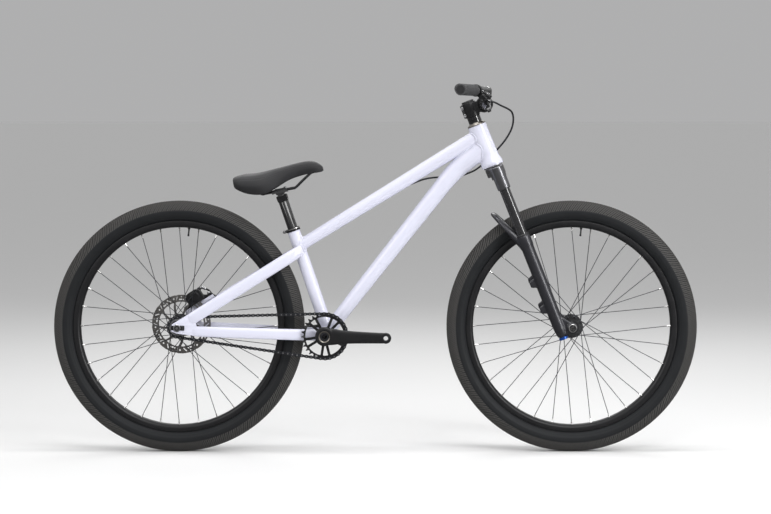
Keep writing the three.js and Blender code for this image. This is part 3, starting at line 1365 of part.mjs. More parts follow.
// Windows between the arms of the chainring, wide and narrow by turns
function ringWindows() {
  const step = fullTurn / ringArmPairs;
  const spread = ringArmSpread * degree;
  const window = (from, to) => {
    const outerMargin = ringArmWidth / 2 / ringWindowRadius;
    const innerMargin = ringArmWidth / 2 / ringHubRadius;
    const at = (radius, angle) => [radius * Math.cos(angle), radius * Math.sin(angle)];
    const [a, b] = [from + outerMargin, to - outerMargin];
    return [
      at(ringHubRadius, from + innerMargin), at(ringWindowRadius, a), at(ringWindowRadius, mix(a, b, 1 / 2)),
      at(ringWindowRadius, b), at(ringHubRadius, to - innerMargin),
    ];
  };
  return Array.from({ length: ringArmPairs }, (_, k) => {
    const middle = ringArmAngle * degree + spread + k * step;
    return [window(middle - spread, middle + spread), window(middle + spread, middle + step - spread)];
  }).flat();
}

const ringPlate = plate(
  toothOutline(ringTeeth, ringPinAngle), -ringInnerFace - sprocketThickness, -ringInnerFace,
  [...ringWindows(), circleHole(ringBore, turnedFacets)],
);
piece(crankFrame, "chainring", ringPlate, satinBlack);
const cogPlate = plate(
  toothOutline(cogTeeth, cogPinAngle), -ringInnerFace - sprocketThickness, -ringInnerFace,
  [circleHole(clearOf(driverRadius - fitGap, turnedFacets), turnedFacets)],
);
piece(rearWheel, "rear_cog", cogPlate, steel);

// Chain: two bands of plates with a roller between them at each pin
function chainBody() {
  const stops = [];
  for (let link = 0; link < ringWrapLinks; link += 1) stops.push(link);
  stops.push(ringWrapLinks);
  for (let link = 0; link < cogWrapLinks; link += 1) stops.push(ringWrapLinks + runLinks + link);
  stops.push(ringWrapLinks + runLinks + cogWrapLinks);
  const half = chainPlateHeight / 2;
  const band = (low, high) =>
    plate(stops.map((links) => chainPlace(links, half)), low, high, [stops.map((links) => chainPlace(links, -half))]);
  const inner = chainInnerWidth / 2;
  const outer = inner + chainPlateThickness;
  const rollers = Array.from({ length: chainLinks }, (_, k) => {
    const [x, z] = chainPlace(k * linkStep);
    return rod([vec(x, -chainLine - inner - fitGap, z), vec(x, -chainLine + inner + fitGap, z)], rollerRadius, rollerSides);
  });
  const plates = [band(-chainLine - outer, -chainLine - inner), band(-chainLine + inner, -chainLine + outer)];
  return joined(...plates, ...rollers);
}

piece(rearWheel, "chain", chainBody(), chainSteel);

// Brake hose: from the lever round the front of the head tube, then along the left of the frame
// Its run: along the line from the head tube's foot to the rear axle, out to the hub's width, and off the line
const hoseEntryShares = [0.0767, 0.489, 0.105];
const hoseRunShares = [
  [0.0773, 0.487, 0.105], [0.0956, 0.456, 0.123], [0.1239, 0.43, 0.202],
  [0.1546, 0.4, 0.299], [0.1853, 0.378, 0.404], [0.216, 0.363, 0.484],
  [0.2514, 0.356, 0.524], [0.3034, 0.356, 0.546], [0.4451, 0.356, 0.451],
  [0.5159, 0.356, 0.418], [0.5631, 0.356, 0.443], [0.6009, 0.37, 0.51],
  [0.634, 0.533, 0.449], [0.6517, 0.644, 0.361], [0.6694, 0.708, 0.315],
  [0.7166, 0.841, 0.268], [0.7993, 1.022, 0.197], [0.8465, 1.105, 0.158],
  [0.8748, 1.15, 0.157], [0.9008, 1.144, 0.3], [0.9144, 1.074, 0.457],
  [0.9221, 0.981, 0.518], [0.9292, 0.963, 0.567],
];
const hosePlace = ([along, out, up]) =>
  headFoot.clone().lerp(rearAxle, along).add(vec(0, (out * rearHubWidth) / 2, up * headTubeLength));
// Its loop: off the straight line from the lever to the frame, in head tube lengths
const hoseLoopShares = [
  [0.037, 0.037, -0.059], [0.2, -0.007, 0.044], [0.383, 0.004, 0.119],
  [0.563, 0.051, 0.193], [0.699, 0.115, 0.258], [0.77, 0.264, 0.247],
  [0.776, 0.444, 0.161], [0.681, 0.555, 0.058], [0.562, 0.579, 0.007],
  [0.425, 0.535, -0.036], [0.256, 0.383, -0.094], [0.098, 0.185, -0.089],
  [0, 0, 0],
];
const hoseLeverEnd = vec(leverBodyReach, leverBodyInboard, 0).applyMatrix4(leverPlaceMatrix).applyMatrix4(steerPlace);
const hoseEntry = hosePlace(hoseEntryShares);
const hoseLoop = hoseLoopShares.map(([ahead, across, up], k) =>
  hoseLeverEnd
    .clone()
    .lerp(hoseEntry, k / (hoseLoopShares.length - 1))
    .add(vec(ahead, across, up).multiplyScalar(headTubeLength)),
);
const hoseRun = hoseRunShares.map(hosePlace);
const hoseAlong = (points, steps) => new THREE.CatmullRomCurve3(points).getSpacedPoints(steps);
piece(frame, "brake_hose_loop", rod(hoseAlong(hoseLoop, hoseLoopSteps), hoseRadius, hoseSides), satinBlack);
piece(frame, "brake_hose", rod(hoseAlong(hoseRun, hoseRunSteps), hoseRadius, hoseSides), satinBlack);

export default bicycle;
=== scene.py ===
import math

import bmesh
import bpy
from bpy.props import FloatProperty, FloatVectorProperty, IntProperty, PointerProperty
from mathutils import Matrix, Vector
from mathutils.geometry import tessellate_polygon


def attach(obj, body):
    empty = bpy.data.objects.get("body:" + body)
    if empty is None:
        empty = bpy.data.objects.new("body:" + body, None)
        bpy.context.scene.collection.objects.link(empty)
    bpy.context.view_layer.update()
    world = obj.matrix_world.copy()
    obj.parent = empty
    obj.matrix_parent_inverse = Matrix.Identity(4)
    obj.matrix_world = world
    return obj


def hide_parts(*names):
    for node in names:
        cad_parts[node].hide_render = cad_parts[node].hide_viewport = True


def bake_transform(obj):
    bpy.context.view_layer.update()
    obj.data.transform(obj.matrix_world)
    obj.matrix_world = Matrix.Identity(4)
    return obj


bl_info = {
    "name": "Dirt jump bike",
    "version": (1, 0, 0),
    "blender": (4, 5, 0),
    "location": "3D View > Sidebar > Bike",
    "description": "Dresses the packed dirt jump bike piece by piece and sets its stage",
    "category": "Object",
}

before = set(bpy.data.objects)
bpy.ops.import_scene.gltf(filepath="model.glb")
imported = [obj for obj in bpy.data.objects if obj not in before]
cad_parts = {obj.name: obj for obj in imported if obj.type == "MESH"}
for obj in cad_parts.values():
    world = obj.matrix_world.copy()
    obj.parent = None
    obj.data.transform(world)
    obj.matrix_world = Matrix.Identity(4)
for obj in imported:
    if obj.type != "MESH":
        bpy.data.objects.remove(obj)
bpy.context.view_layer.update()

# Units: shapes are drawn in millimetres and degrees, and put down in metres
MM = 0.001
TURN = 2 * math.pi
FORWARD = Vector((1, 0, 0))
SIDE = Vector((0, 1, 0))
UP = Vector((0, 0, 1))

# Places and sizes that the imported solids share
TYRE_RADIUS = 338.0
SECTION_CENTRE = 309.0
CHAINSTAY = 395.4
HALF_WHEELBASE = 530.0
BRACKET_DROP = 24.0
BRACKET_AHEAD = math.sqrt(CHAINSTAY ** 2 - BRACKET_DROP ** 2)
HUB_WIDTH = 135.0
HEAD_ANGLE = 68.4
HEAD_LENGTH = 117.0
FORK_LENGTH = 481.0
FORK_OFFSET = 38.7
LEG_AHEAD = 6.0
LEG_SIDE = 65.0
LEG_MOUNTS = (407, 332.8)
SEAT_ANGLE = 71.1
SEAT_TUBE_AHEAD = 10.0
SEAT_TUBE_LENGTH = 302.3
CLAMP_HEIGHT = 109.0
SADDLE_ANGLE = 11.0
STAY_ANGLE = 32.0
CHAINSTAY_DROP = 6.5
STEM_REACH = 40.3
BAR_HEIGHT = 162.8
BAR_HALF_WIDTH = 385.0
BAR_RISE = 61.9
BAR_AHEAD = 16.5
BAR_SWEEP = 13.5
BAR_UPSWEEP = 6.55
BAR_BEND = 125.0
GRIP_INNER_END = 248.0
LEVER_PLACE = 232.0
HOSE_RADIUS = 2.5


def sloped(degrees, x=1, z=1):
    """A direction in the bicycle's middle plane, so steep, ahead and up or the other way."""
    return Vector((x * math.cos(math.radians(degrees)), 0, z * math.sin(math.radians(degrees))))


def tilted(degrees, place):
    """A frame of reference turned about the Y axis and put at a place."""
    return Matrix.Translation(place) @ Matrix.Rotation(math.radians(degrees), 4, "Y")


REAR = Vector((-HALF_WHEELBASE, 0, TYRE_RADIUS))
FRONT = Vector((HALF_WHEELBASE, 0, TYRE_RADIUS))
BRACKET = Vector((BRACKET_AHEAD - HALF_WHEELBASE, 0, TYRE_RADIUS - BRACKET_DROP))
CHAINSTAY_END = REAR - UP * CHAINSTAY_DROP
STEER_UP = sloped(HEAD_ANGLE, -1)
STEER_AHEAD = Vector((STEER_UP.z, 0, -STEER_UP.x))
SEAT_UP = sloped(SEAT_ANGLE, -1)
HEAD_FOOT = FRONT + STEER_UP * FORK_LENGTH - STEER_AHEAD * FORK_OFFSET
SEAT_FOOT = BRACKET + FORWARD * SEAT_TUBE_AHEAD
SEAT_TOP = SEAT_FOOT + SEAT_UP * SEAT_TUBE_LENGTH
SADDLE_PIVOT = SEAT_TOP + SEAT_UP * CLAMP_HEIGHT
STEER = tilted(HEAD_ANGLE - 90, HEAD_FOOT)
SEAT = tilted(SEAT_ANGLE - 90, SEAT_TOP)
STAY = tilted(-STAY_ANGLE, REAR)
SADDLE = tilted(-SADDLE_ANGLE, SADDLE_PIVOT)
AT_REAR = Matrix.Translation(REAR)
AT_FRONT = Matrix.Translation(FRONT)
AT_BRACKET = Matrix.Translation(BRACKET)
STAND = Matrix.Rotation(math.radians(90), 4, "X")


def mix(start, end, share):
    return start + (end - start) * share


def polar(radius, angle):
    return radius * math.cos(angle), radius * math.sin(angle)


def flipped(point):
    """The same place on the bicycle's other side."""
    return Vector((point.x, -point.y, point.z))


def table(stops, place):
    """The value between the stops of a table of (place, value)."""
    for (low, first), (high, second) in zip(stops, stops[1:]):
        if place <= high:
            return mix(first, second, max(0.0, (place - low) / (high - low)))
    return stops[-1][1]


# Shapes are pairs of points and faces
def merged(*shapes):
    points, faces = [], []
    for more, polygons in shapes:
        start = len(points)
        points += more
        faces += [tuple(start + i for i in polygon) for polygon in polygons]
    return points, faces


def placed(shape, matrix):
    points, faces = shape
    return [matrix @ point for point in points], faces


def moved(shape, x=0.0, y=0.0, z=0.0):
    return placed(shape, Matrix.Translation((x, y, z)))


def upright(shape):
    """Something turned round the Y axis, stood up along Z."""
    return placed(shape, STAND)


def mirrored(shape):
    points, faces = shape
    return [flipped(point) for point in points], [tuple(reversed(face)) for face in faces]


def both(shape):
    return merged(shape, mirrored(shape))


def lathe(profile, steps=48):
    """A profile of (radius, along), turned round the Y axis."""
    count = len(profile)
    closed = profile[0][0] > 0 or profile[-1][0] > 0
    points = [
        Vector((radius * math.sin(TURN * k / steps), along, radius * math.cos(TURN * k / steps)))
        for k in range(steps) for radius, along in profile
    ]
    faces = []
    for k in range(steps):
        here, there = k * count, (k + 1) % steps * count
        for i in range(count if closed else count - 1):
            j = (i + 1) % count
            faces.append((here + i, here + j, there + j, there + i))
    return points, faces


def disc(radius, low, high, edge=0.6, steps=48):
    """A round plug with its rims eased."""
    return lathe([(0, low), (radius - edge, low), (radius, low + edge), (radius, high - edge),
                  (radius - edge, high), (0, high)], steps)


def ring(inner, outer, low, high, edge=0.5, steps=48):
    return lathe([(inner, low), (outer - edge, low), (outer, low + edge), (outer, high - edge),
                  (outer - edge, high), (inner, high)], steps)


def prism(outline, low, high, holes=(), axis="Y"):
    """An outline with holes, as deep as the two places along the axis say."""
    spot = {
        "X": lambda u, v, h: Vector((h, u, v)),
        "Y": lambda u, v, h: Vector((u, h, v)),
        "Z": lambda u, v, h: Vector((u, v, h)),
    }[axis]
    loops = [list(loop) for loop in (outline, *holes)]
    flat = [point for loop in loops for point in loop]
    count = len(flat)
    triangles = tessellate_polygon([[Vector((u, v, 0)) for u, v in loop] for loop in loops])
    points = [spot(u, v, low) for u, v in flat] + [spot(u, v, high) for u, v in flat]
    faces = [tuple(t) for t in triangles] + [tuple(i + count for i in reversed(t)) for t in triangles]
    start = 0
    for loop in loops:
        for i in range(len(loop)):
            a, b = start + i, start + (i + 1) % len(loop)
            faces.append((a, b, b + count, a + count))
        start += len(loop)
    return points, faces


def box(x0, x1, y0, y1, z0, z1):
    return prism([(x0, z0), (x1, z0), (x1, z1), (x0, z1)], y0, y1)


def circle(radius, count, centre=(0, 0), start=0.0):
    return [
        (centre[0] + radius * math.cos(start + TURN * k / count),
         centre[1] + radius * math.sin(start + TURN * k / count))
        for k in range(count)
    ]


def eased(outline, radius, steps=5):
    """An outline with its corners rounded."""
    result = []
    count = len(outline)
    for k, corner in enumerate(outline):
        here = Vector(corner)
        back = Vector(outline[k - 1]) - here
        ahead = Vector(outline[(k + 1) % count]) - here
        size = min(radius, back.length * 0.45, ahead.length * 0.45)
        start, end = here + back.normalized() * size, here + ahead.normalized() * size
        for i in range(steps + 1):
            t = i / steps
            point = start * (1 - t) ** 2 + here * 2 * t * (1 - t) + end * t ** 2
            result.append((point.x, point.y))
    return result


def smooth_path(points, steps):
    """A smooth curve through the points, with so many steps between two of them."""
    points = [Vector(p) for p in points]
    ends = [points[0] * 2 - points[1], *points, points[-1] * 2 - points[-2]]
    path = []
    for k in range(len(points) - 1):
        before, start, end, after = ends[k:k + 4]
        first = max((start - before).length, 1e-9) ** 0.5
        middle = max((end - start).length, 1e-9) ** 0.5
        last = max((after - end).length, 1e-9) ** 0.5
        slope = (end - start) / middle
        leave = ((start - before) / first - (end - before) / (first + middle) + slope) * middle
        reach = (slope - (after - start) / (middle + last) + (after - end) / last) * middle
        for i in range(steps):
            t = i / steps
            path.append(
                start * (2 * t ** 3 - 3 * t ** 2 + 1) + leave * (t ** 3 - 2 * t ** 2 + t)
                + end * (3 * t ** 2 - 2 * t ** 3) + reach * (t ** 3 - t ** 2)
            )
    path.append(points[-1])
    return path


def spaced(path, pitch, closed=False):
    """Points at even steps along a path, and the way it runs at each."""
    line = list(path) + ([path[0]] if closed else [])
    lengths = [0.0]
    for a, b in zip(line, line[1:]):
        lengths.append(lengths[-1] + (b - a).length)
    count = max(2, round(lengths[-1] / pitch))
    result, k = [], 0
    for i in range(count if closed else count + 1):
        target = min(lengths[-1] * i / count, lengths[-1] - 1e-6)
        while lengths[k + 1] < target:
            k += 1
        share = (target - lengths[k]) / max(lengths[k + 1] - lengths[k], 1e-9)
        result.append((line[k].lerp(line[k + 1], share), (line[k + 1] - line[k]).normalized()))
    return result


class Tube:
    """A bar of oval section along a path, with its half widths and half heights."""

    def __init__(self, path, widths, heights, hint=UP, sides=40, roundness=1.0):
        self.centres = [Vector(p) for p in path]
        self.widths = widths if isinstance(widths, list) else [widths] * len(path)
        self.heights = heights if isinstance(heights, list) else [heights] * len(path)
        self.sides = sides
        self.roundness = roundness
        last = len(path) - 1
        self.frames = []
        for k in range(len(path)):
            ahead = (self.centres[min(k + 1, last)] - self.centres[max(k - 1, 0)]).normalized()
            across = hint.cross(ahead).normalized()
            self.frames.append((across, ahead.cross(across), ahead))

    def rim(self, k, angle):
        across, over, _ = self.frames[k]
        c, s = math.cos(angle), math.sin(angle)
        wide = math.copysign(abs(c) ** self.roundness, c) * self.widths[k]
        high = math.copysign(abs(s) ** self.roundness, s) * self.heights[k]
        return self.centres[k] + across * wide + over * high

    def at(self, place, angle):
        k = max(0, min(int(place), len(self.centres) - 2))
        return self.rim(k, angle).lerp(self.rim(k + 1, angle), place - k)

    def outside(self, point):
        """How far outside the surface a point is, and below zero inside it."""
        best = 1e6
        for k in range(len(self.centres) - 1):
            start, way = self.centres[k], self.centres[k + 1] - self.centres[k]
            share = (point - start).dot(way) / way.length_squared
            if -0.05 <= share <= 1.05:
                across, over, _ = self.frames[k]
                away = point - (start + way * share)
                wide = mix(self.widths[k], self.widths[k + 1], share)
                high = mix(self.heights[k], self.heights[k + 1], share)
                power = 2 / self.roundness
                aside, above = abs(away.dot(across) / wide), abs(away.dot(over) / high)
                size = (aside ** power + above ** power) ** (1 / power)
                best = min(best, (size - 1) * min(wide, high))
        return best

    def shape(self):
        points = [self.rim(k, TURN * i / self.sides)
                  for k in range(len(self.centres)) for i in range(self.sides)]
        faces = []
        for k in range(len(self.centres) - 1):
            for i in range(self.sides):
                a, b = k * self.sides + i, k * self.sides + (i + 1) % self.sides
                faces.append((a, b, b + self.sides, a + self.sides))
        end = (len(self.centres) - 1) * self.sides
        faces.append(tuple(reversed(range(self.sides))))
        faces.append(tuple(range(end, end + self.sides)))
        return points, faces


def faired(stations, steps):
    """Stations of (point, half width, half height), with smooth steps between them."""
    apart = 40.0
    path = smooth_path([point for point, _, _ in stations], steps)
    sizes = smooth_path([Vector((wide, high, apart * k)) for k, (_, wide, high) in enumerate(stations)],
                        steps)
    return path, [size.x for size in sizes], [size.y for size in sizes]


def rod(path, radius, sides=16, hint=UP):
    return Tube(path, radius, radius, hint, sides).shape()


# Node trees
def add(tree, kind, inputs=None, **settings):
    node = tree.nodes.new(kind)
    for key, value in settings.items():
        setattr(node, key, value)
    for key, value in (inputs or {}).items():
        if isinstance(value, bpy.types.NodeSocket):
            tree.links.new(value, node.inputs[key])
        else:
            node.inputs[key].default_value = value
    return node


def new_tree(name, sockets):
    tree = bpy.data.node_groups.new(name, "GeometryNodeTree")
    for label, kind, default in sockets:
        socket = tree.interface.new_socket(label, in_out="INPUT", socket_type=kind)
        if default is not None:
            socket.default_value = default
    tree.interface.new_socket("Geometry", in_out="OUTPUT", socket_type="NodeSocketGeometry")
    return tree, tree.nodes.new("NodeGroupInput"), tree.nodes.new("NodeGroupOutput")


def finish_tree(tree, instances, material, output):
    whole = add(tree, "GeometryNodeRealizeInstances", {"Geometry": instances})
    painted = add(tree, "GeometryNodeSetMaterial", {"Geometry": whole.outputs[0], "Material": material})
    tree.links.new(painted.outputs[0], output.inputs[0])


def round_axle_tree():
    """Copies of the geometry at even steps round the Y axis."""
    tree, source, output = new_tree("Round the axle", [
        ("Geometry", "NodeSocketGeometry", None), ("Count", "NodeSocketInt", 8),
        ("Start angle", "NodeSocketFloat", 0.0), ("Material", "NodeSocketMaterial", None),
    ])
    line = add(tree, "GeometryNodeMeshLine", {"Count": source.outputs["Count"], "Offset": (0, 0, 0)})
    index = add(tree, "GeometryNodeInputIndex")
    step = add(tree, "ShaderNodeMath", {0: TURN, 1: source.outputs["Count"]}, operation="DIVIDE")
    angle = add(tree, "ShaderNodeMath", {
        0: index.outputs[0], 1: step.outputs[0], 2: source.outputs["Start angle"],
    }, operation="MULTIPLY_ADD")
    turn = add(tree, "ShaderNodeCombineXYZ", {"Y": angle.outputs[0]})
    facing = add(tree, "FunctionNodeEulerToRotation", {0: turn.outputs[0]})
    copies = add(tree, "GeometryNodeInstanceOnPoints", {
        "Points": line.outputs[0], "Instance": source.outputs["Geometry"], "Rotation": facing.outputs[0],
    })
    finish_tree(tree, copies.outputs[0], source.outputs["Material"], output)
    return tree


def on_points_tree():
    """A copy of an object at each point, turned and sized as the point says."""
    tree, source, output = new_tree("Copies on points", [
        ("Geometry", "NodeSocketGeometry", None), ("Copy", "NodeSocketObject", None),
        ("Material", "NodeSocketMaterial", None),
    ])
    copy = add(tree, "GeometryNodeObjectInfo", {"Object": source.outputs["Copy"]}, transform_space="ORIGINAL")
    turn = add(tree, "GeometryNodeInputNamedAttribute", {"Name": "facing"}, data_type="FLOAT_VECTOR")
    size = add(tree, "GeometryNodeInputNamedAttribute", {"Name": "size"}, data_type="FLOAT_VECTOR")
    facing = add(tree, "FunctionNodeEulerToRotation", {0: turn.outputs[0]})
    copies = add(tree, "GeometryNodeInstanceOnPoints", {
        "Points": source.outputs["Geometry"], "Instance": copy.outputs["Geometry"],
        "Rotation": facing.outputs[0], "Scale": size.outputs[0],
    })
    finish_tree(tree, copies.outputs[0], source.outputs["Material"], output)
    return tree


TREES = {}


def tree_named(name, make):
    if name not in TREES:
        TREES[name] = make()
    return TREES[name]


def set_inputs(modifier, **values):
    """Sets a modifier's inputs by the identifiers of its sockets."""
    for item in modifier.node_group.interface.items_tree:
        key = item.name.replace(" ", "_")
        if item.item_type == "SOCKET" and item.in_out == "INPUT" and key in values:
            modifier[item.identifier] = values[key]


# Objects
def raw_mesh(name, shape, scale=MM):
    points, faces = shape
    mesh = bpy.data.meshes.new(name)
    mesh.from_pydata([tuple(p * scale) for p in points], [], faces)
    edit = bmesh.new()
    edit.from_mesh(mesh)
    bmesh.ops.remove_doubles(edit, verts=edit.verts, dist=1e-6)
    bmesh.ops.dissolve_degenerate(edit, edges=edit.edges, dist=1e-7)
    bmesh.ops.recalc_face_normals(edit, faces=edit.faces)
    edit.to_mesh(mesh)
    edit.free()
    return mesh


def raw_object(name, shape, scale=MM):
    holder = bpy.data.objects.new(name, raw_mesh(name, shape, scale))
    bpy.context.scene.collection.objects.link(holder)
    return holder


def settled(holder):
    """The object's mesh with its modifiers worked in."""
    bpy.context.view_layer.update()
    graph = bpy.context.evaluated_depsgraph_get()
    mesh = bpy.data.meshes.new_from_object(holder.evaluated_get(graph))
    holder.modifiers.clear()
    holder.data = mesh
    return holder


def removed(*holders):
    for holder in holders:
        bpy.data.objects.remove(holder)


def finished(holder, material, body, replaces=(), sharp=35.0):
    """Paints a piece, shades it and lets it ride on its body."""
    paint, slot = material
    if not holder.data.materials:
        holder.data.materials.append(paint)
    holder.data.shade_smooth()
    holder.data.set_sharp_from_angle(angle=math.radians(sharp))
    if body:
        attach(holder, body)
    if replaces:
        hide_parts(*replaces)
    return holder


def piece(name, shape, material, body, replaces=(), bevel=0.0, segments=2, levels=0, sharp=35.0):
    """A piece in plain mesh, with its edges eased or its faces divided."""
    holder = raw_object(name, shape)
    if bevel:
        ease = holder.modifiers.new("Bevel", "BEVEL")
        ease.width, ease.segments = bevel * MM, segments
        ease.limit_method, ease.angle_limit = "ANGLE", math.radians(32)
    if levels:
        divide = holder.modifiers.new("Subsurf", "SUBSURF")
        divide.levels = divide.render_levels = levels
    if bevel or levels:
        settled(holder)
    return finished(holder, material, body, replaces, sharp)


def cast(name, shape, material, body, replaces=(), grain=1.2, relax=6, cuts=None, sharp=50.0):
    """A cast or forged piece: its parts run into one skin with soft inner corners, then drilled."""
    holder = raw_object(name, shape)
    remesh = holder.modifiers.new("Remesh", "REMESH")
    remesh.mode, remesh.voxel_size, remesh.adaptivity = "VOXEL", grain * MM, 0.0
    soften = holder.modifiers.new("Smooth", "SMOOTH")
    soften.factor, soften.iterations = 0.5, relax
    settled(holder)
    if cuts:
        tool = raw_object(name + "_cut", cuts)
        cutter = holder.modifiers.new("Drill", "BOOLEAN")
        cutter.operation, cutter.object, cutter.solver = "DIFFERENCE", tool, "EXACT"
        settled(holder)
        removed(tool)
    return finished(holder, material, body, replaces, sharp)


def round_axle(name, unit, count, material, body, place=Matrix(), start=0.0, replaces=(), sharp=35.0):
    """A unit repeated round an axle by Geometry Nodes."""
    holder = raw_object(name, unit)
    modifier = holder.modifiers.new("Round the axle", "NODES")
    modifier.node_group = tree_named("Round the axle", round_axle_tree)
    set_inputs(modifier, Count=count, Start_angle=start, Material=material[0])
    settled(holder)
    holder.data.transform(metres(place))
    return finished(holder, material, body, replaces, sharp)


def on_points(name, unit, places, material, body, replaces=(), sharp=35.0):
    """A unit repeated by Geometry Nodes at places of (point, turn, size)."""
    copy = raw_object(name + "_copy", unit)
    mesh = bpy.data.meshes.new(name)
    mesh.from_pydata([tuple(point * MM) for point, _, _ in places], [], [])
    for label, values in (
        ("facing", [tuple(turn.to_euler()) for _, turn, _ in places]),
        ("size", [size if hasattr(size, "__len__") else (size,) * 3 for _, _, size in places]),
    ):
        layer = mesh.attributes.new(label, "FLOAT_VECTOR", "POINT")
        layer.data.foreach_set("vector", [value for triple in values for value in triple])
    holder = bpy.data.objects.new(name, mesh)
    bpy.context.scene.collection.objects.link(holder)
    modifier = holder.modifiers.new("Copies on points", "NODES")
    modifier.node_group = tree_named("Copies on points", on_points_tree)
    set_inputs(modifier, Copy=copy, Material=material[0])
    settled(holder)
    removed(copy)
    return finished(holder, material, body, replaces, sharp)


def metres(matrix):
    """The same placing with its distance in metres."""
    result = matrix.copy()
    result.translation = matrix.translation * MM
    return result


def facing_along(way):
    """A turn that takes the Y axis to a direction."""
    return way.normalized().to_track_quat("Y", "Z").to_matrix().to_4x4()


def places_on(at, spots):
    """Places for copies, from (point, direction, size) in the frame of reference of a part."""
    turn = at.to_3x3()
    return [(at @ Vector(point), (turn @ facing_along(Vector(way)).to_3x3()).to_4x4(), size)
            for point, way, size in spots]


def refinish(material, *nodes):
    """A better material for a CAD node that stays."""
    for node in nodes:
        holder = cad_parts[node]
        for slot in holder.material_slots:
            slot.material = material[0]


def socket_screw(radius=4.5, height=4.5, socket=2.4, thread=0.0):
    """A screw head with a hexagon socket, its foot at the origin and its top along Y."""
    steps, ease, lip = 24, 0.6, 0.3
    head = lathe([(0, -thread), (radius * 0.5, -thread), (radius * 0.5, 0), (radius, 0),
                  (radius, height - ease), (radius - ease, height), (socket + lip, height),
                  (socket, height - lip)], steps)
    walls = []
    for k in range(steps):
        angle = TURN * k / steps
        flat = socket / max(math.cos((angle + TURN / 12) % (TURN / 6) - TURN / 12), 0.5)
        walls.append((min(flat, socket * 1.12), angle))
    points = [Vector((r * math.sin(a), height - lip, r * math.cos(a))) for r, a in walls]
    points += [Vector((r * math.sin(a), height - socket, r * math.cos(a))) for r, a in walls]
    faces = [(k, (k + 1) % steps, (k + 1) % steps + steps, k + steps) for k in range(steps)]
    faces.append(tuple(range(steps, 2 * steps)))
    return merged(head, (points, faces))


# Finishes
def pattern_nodes(tree, centre, kind, grain):
    """The fine relief of a finish, read from the object's own coordinates."""
    place = add(tree, "ShaderNodeTexCoord")
    mapping = add(tree, "ShaderNodeMapping", {"Vector": place.outputs["Object"]})
    mapping.inputs["Location"].default_value = [-value * MM for value in centre]
    if kind == "along":
        mapping.inputs["Scale"].default_value = (0.06, 1.0, 1.0)
    if kind == "rings":
        split = add(tree, "ShaderNodeSeparateXYZ", {0: mapping.outputs[0]})
        flat = add(tree, "ShaderNodeCombineXYZ", {"X": split.outputs["X"], "Y": split.outputs["Z"]})
        radius = add(tree, "ShaderNodeVectorMath", {0: flat.outputs[0]}, operation="LENGTH")
        around = {"X": radius.outputs["Value"], "Y": split.outputs["Y"]}
        coordinates = add(tree, "ShaderNodeCombineXYZ", around)
        source = coordinates.outputs[0]
    else:
        source = mapping.outputs[0]
    if kind == "leather":
        cells = add(tree, "ShaderNodeTexVoronoi", {"Vector": source, "Scale": grain},
                    feature="DISTANCE_TO_EDGE")
        fine = cells.outputs["Distance"]
    else:
        noise = add(tree, "ShaderNodeTexNoise", {
            "Vector": source, "Scale": grain, "Detail": 3.0, "Roughness": 0.6,
        })
        fine = noise.outputs["Fac"]
    broad = add(tree, "ShaderNodeTexNoise", {"Vector": mapping.outputs[0], "Scale": 26.0, "Detail": 4.0})
    return fine, broad.outputs["Fac"]


def make_finish(name, recipe, colour, centre):
    material = bpy.data.materials.new(name)
    material.use_nodes = True
    tree = material.node_tree
    shader = tree.nodes["Principled BSDF"]
    fine, broad = pattern_nodes(tree, centre, recipe.get("pattern", "even"), recipe["grain"])
    spread = recipe["spread"]
    lighter = [min(1.0, value * (1 + spread) + spread * 0.02) for value in colour[:3]]
    darker = [value * (1 - spread) for value in colour[:3]]
    tone = add(tree, "ShaderNodeMapRange", {"Value": fine, "From Min": 0.3, "From Max": 0.7})
    soft = add(tree, "ShaderNodeMath", {0: broad, 1: 0.6, 2: tone.outputs[0]}, operation="MULTIPLY_ADD")
    ramp = add(tree, "ShaderNodeValToRGB", {"Fac": soft.outputs[0]})
    ramp.color_ramp.elements[0].color = (*darker, 1)
    ramp.color_ramp.elements[0].position = 0.2
    ramp.color_ramp.elements[1].color = (*lighter, 1)
    ramp.color_ramp.elements[1].position = 1.4 if recipe.get("pattern") == "leather" else 1.0
    base = ramp.outputs["Color"]
    # Painted highlight: sharp convex edges, found by pointiness, are mixed towards light grey to stand in for
    # light caught along them
    if recipe.get("wear"):
        edges = add(tree, "ShaderNodeNewGeometry")
        highlight_share = add(tree, "ShaderNodeMapRange", {
            "Value": edges.outputs["Pointiness"],
            "From Min": 0.53, "From Max": 0.62, "To Max": recipe["wear"],
        })
        blend = add(tree, "ShaderNodeMix", {0: highlight_share.outputs[0]}, data_type="RGBA")
        tree.links.new(base, blend.inputs[6])
        blend.inputs[7].default_value = (0.35, 0.35, 0.36, 1)
        base = blend.outputs[2]
    tree.links.new(base, shader.inputs["Base Color"])
    low, high = recipe["roughness"]
    rough = add(tree, "ShaderNodeMapRange", {
        "Value": broad, "From Min": 0.3, "From Max": 0.7, "To Min": low, "To Max": high,
    })
    tree.links.new(rough.outputs[0], shader.inputs["Roughness"])
    bump = add(tree, "ShaderNodeBump", {
        "Height": fine, "Strength": recipe["bump"], "Distance": recipe["depth"] * MM,
    })
    tree.links.new(bump.outputs[0], shader.inputs["Normal"])
    shader.inputs["Metallic"].default_value = recipe.get("metal", 0.0)
    for socket, value in recipe.get("shader", {}).items():
        shader.inputs[socket].default_value = value
    return material


def recipe(slot, colour, spread, grain, roughness, bump, depth, **more):
    """A finish: its slot, its colour's name, how far it varies, and its roughness and relief."""
    return dict(slot=slot, colour=colour, spread=spread, grain=grain, roughness=roughness,
                bump=bump, depth=depth, **more)


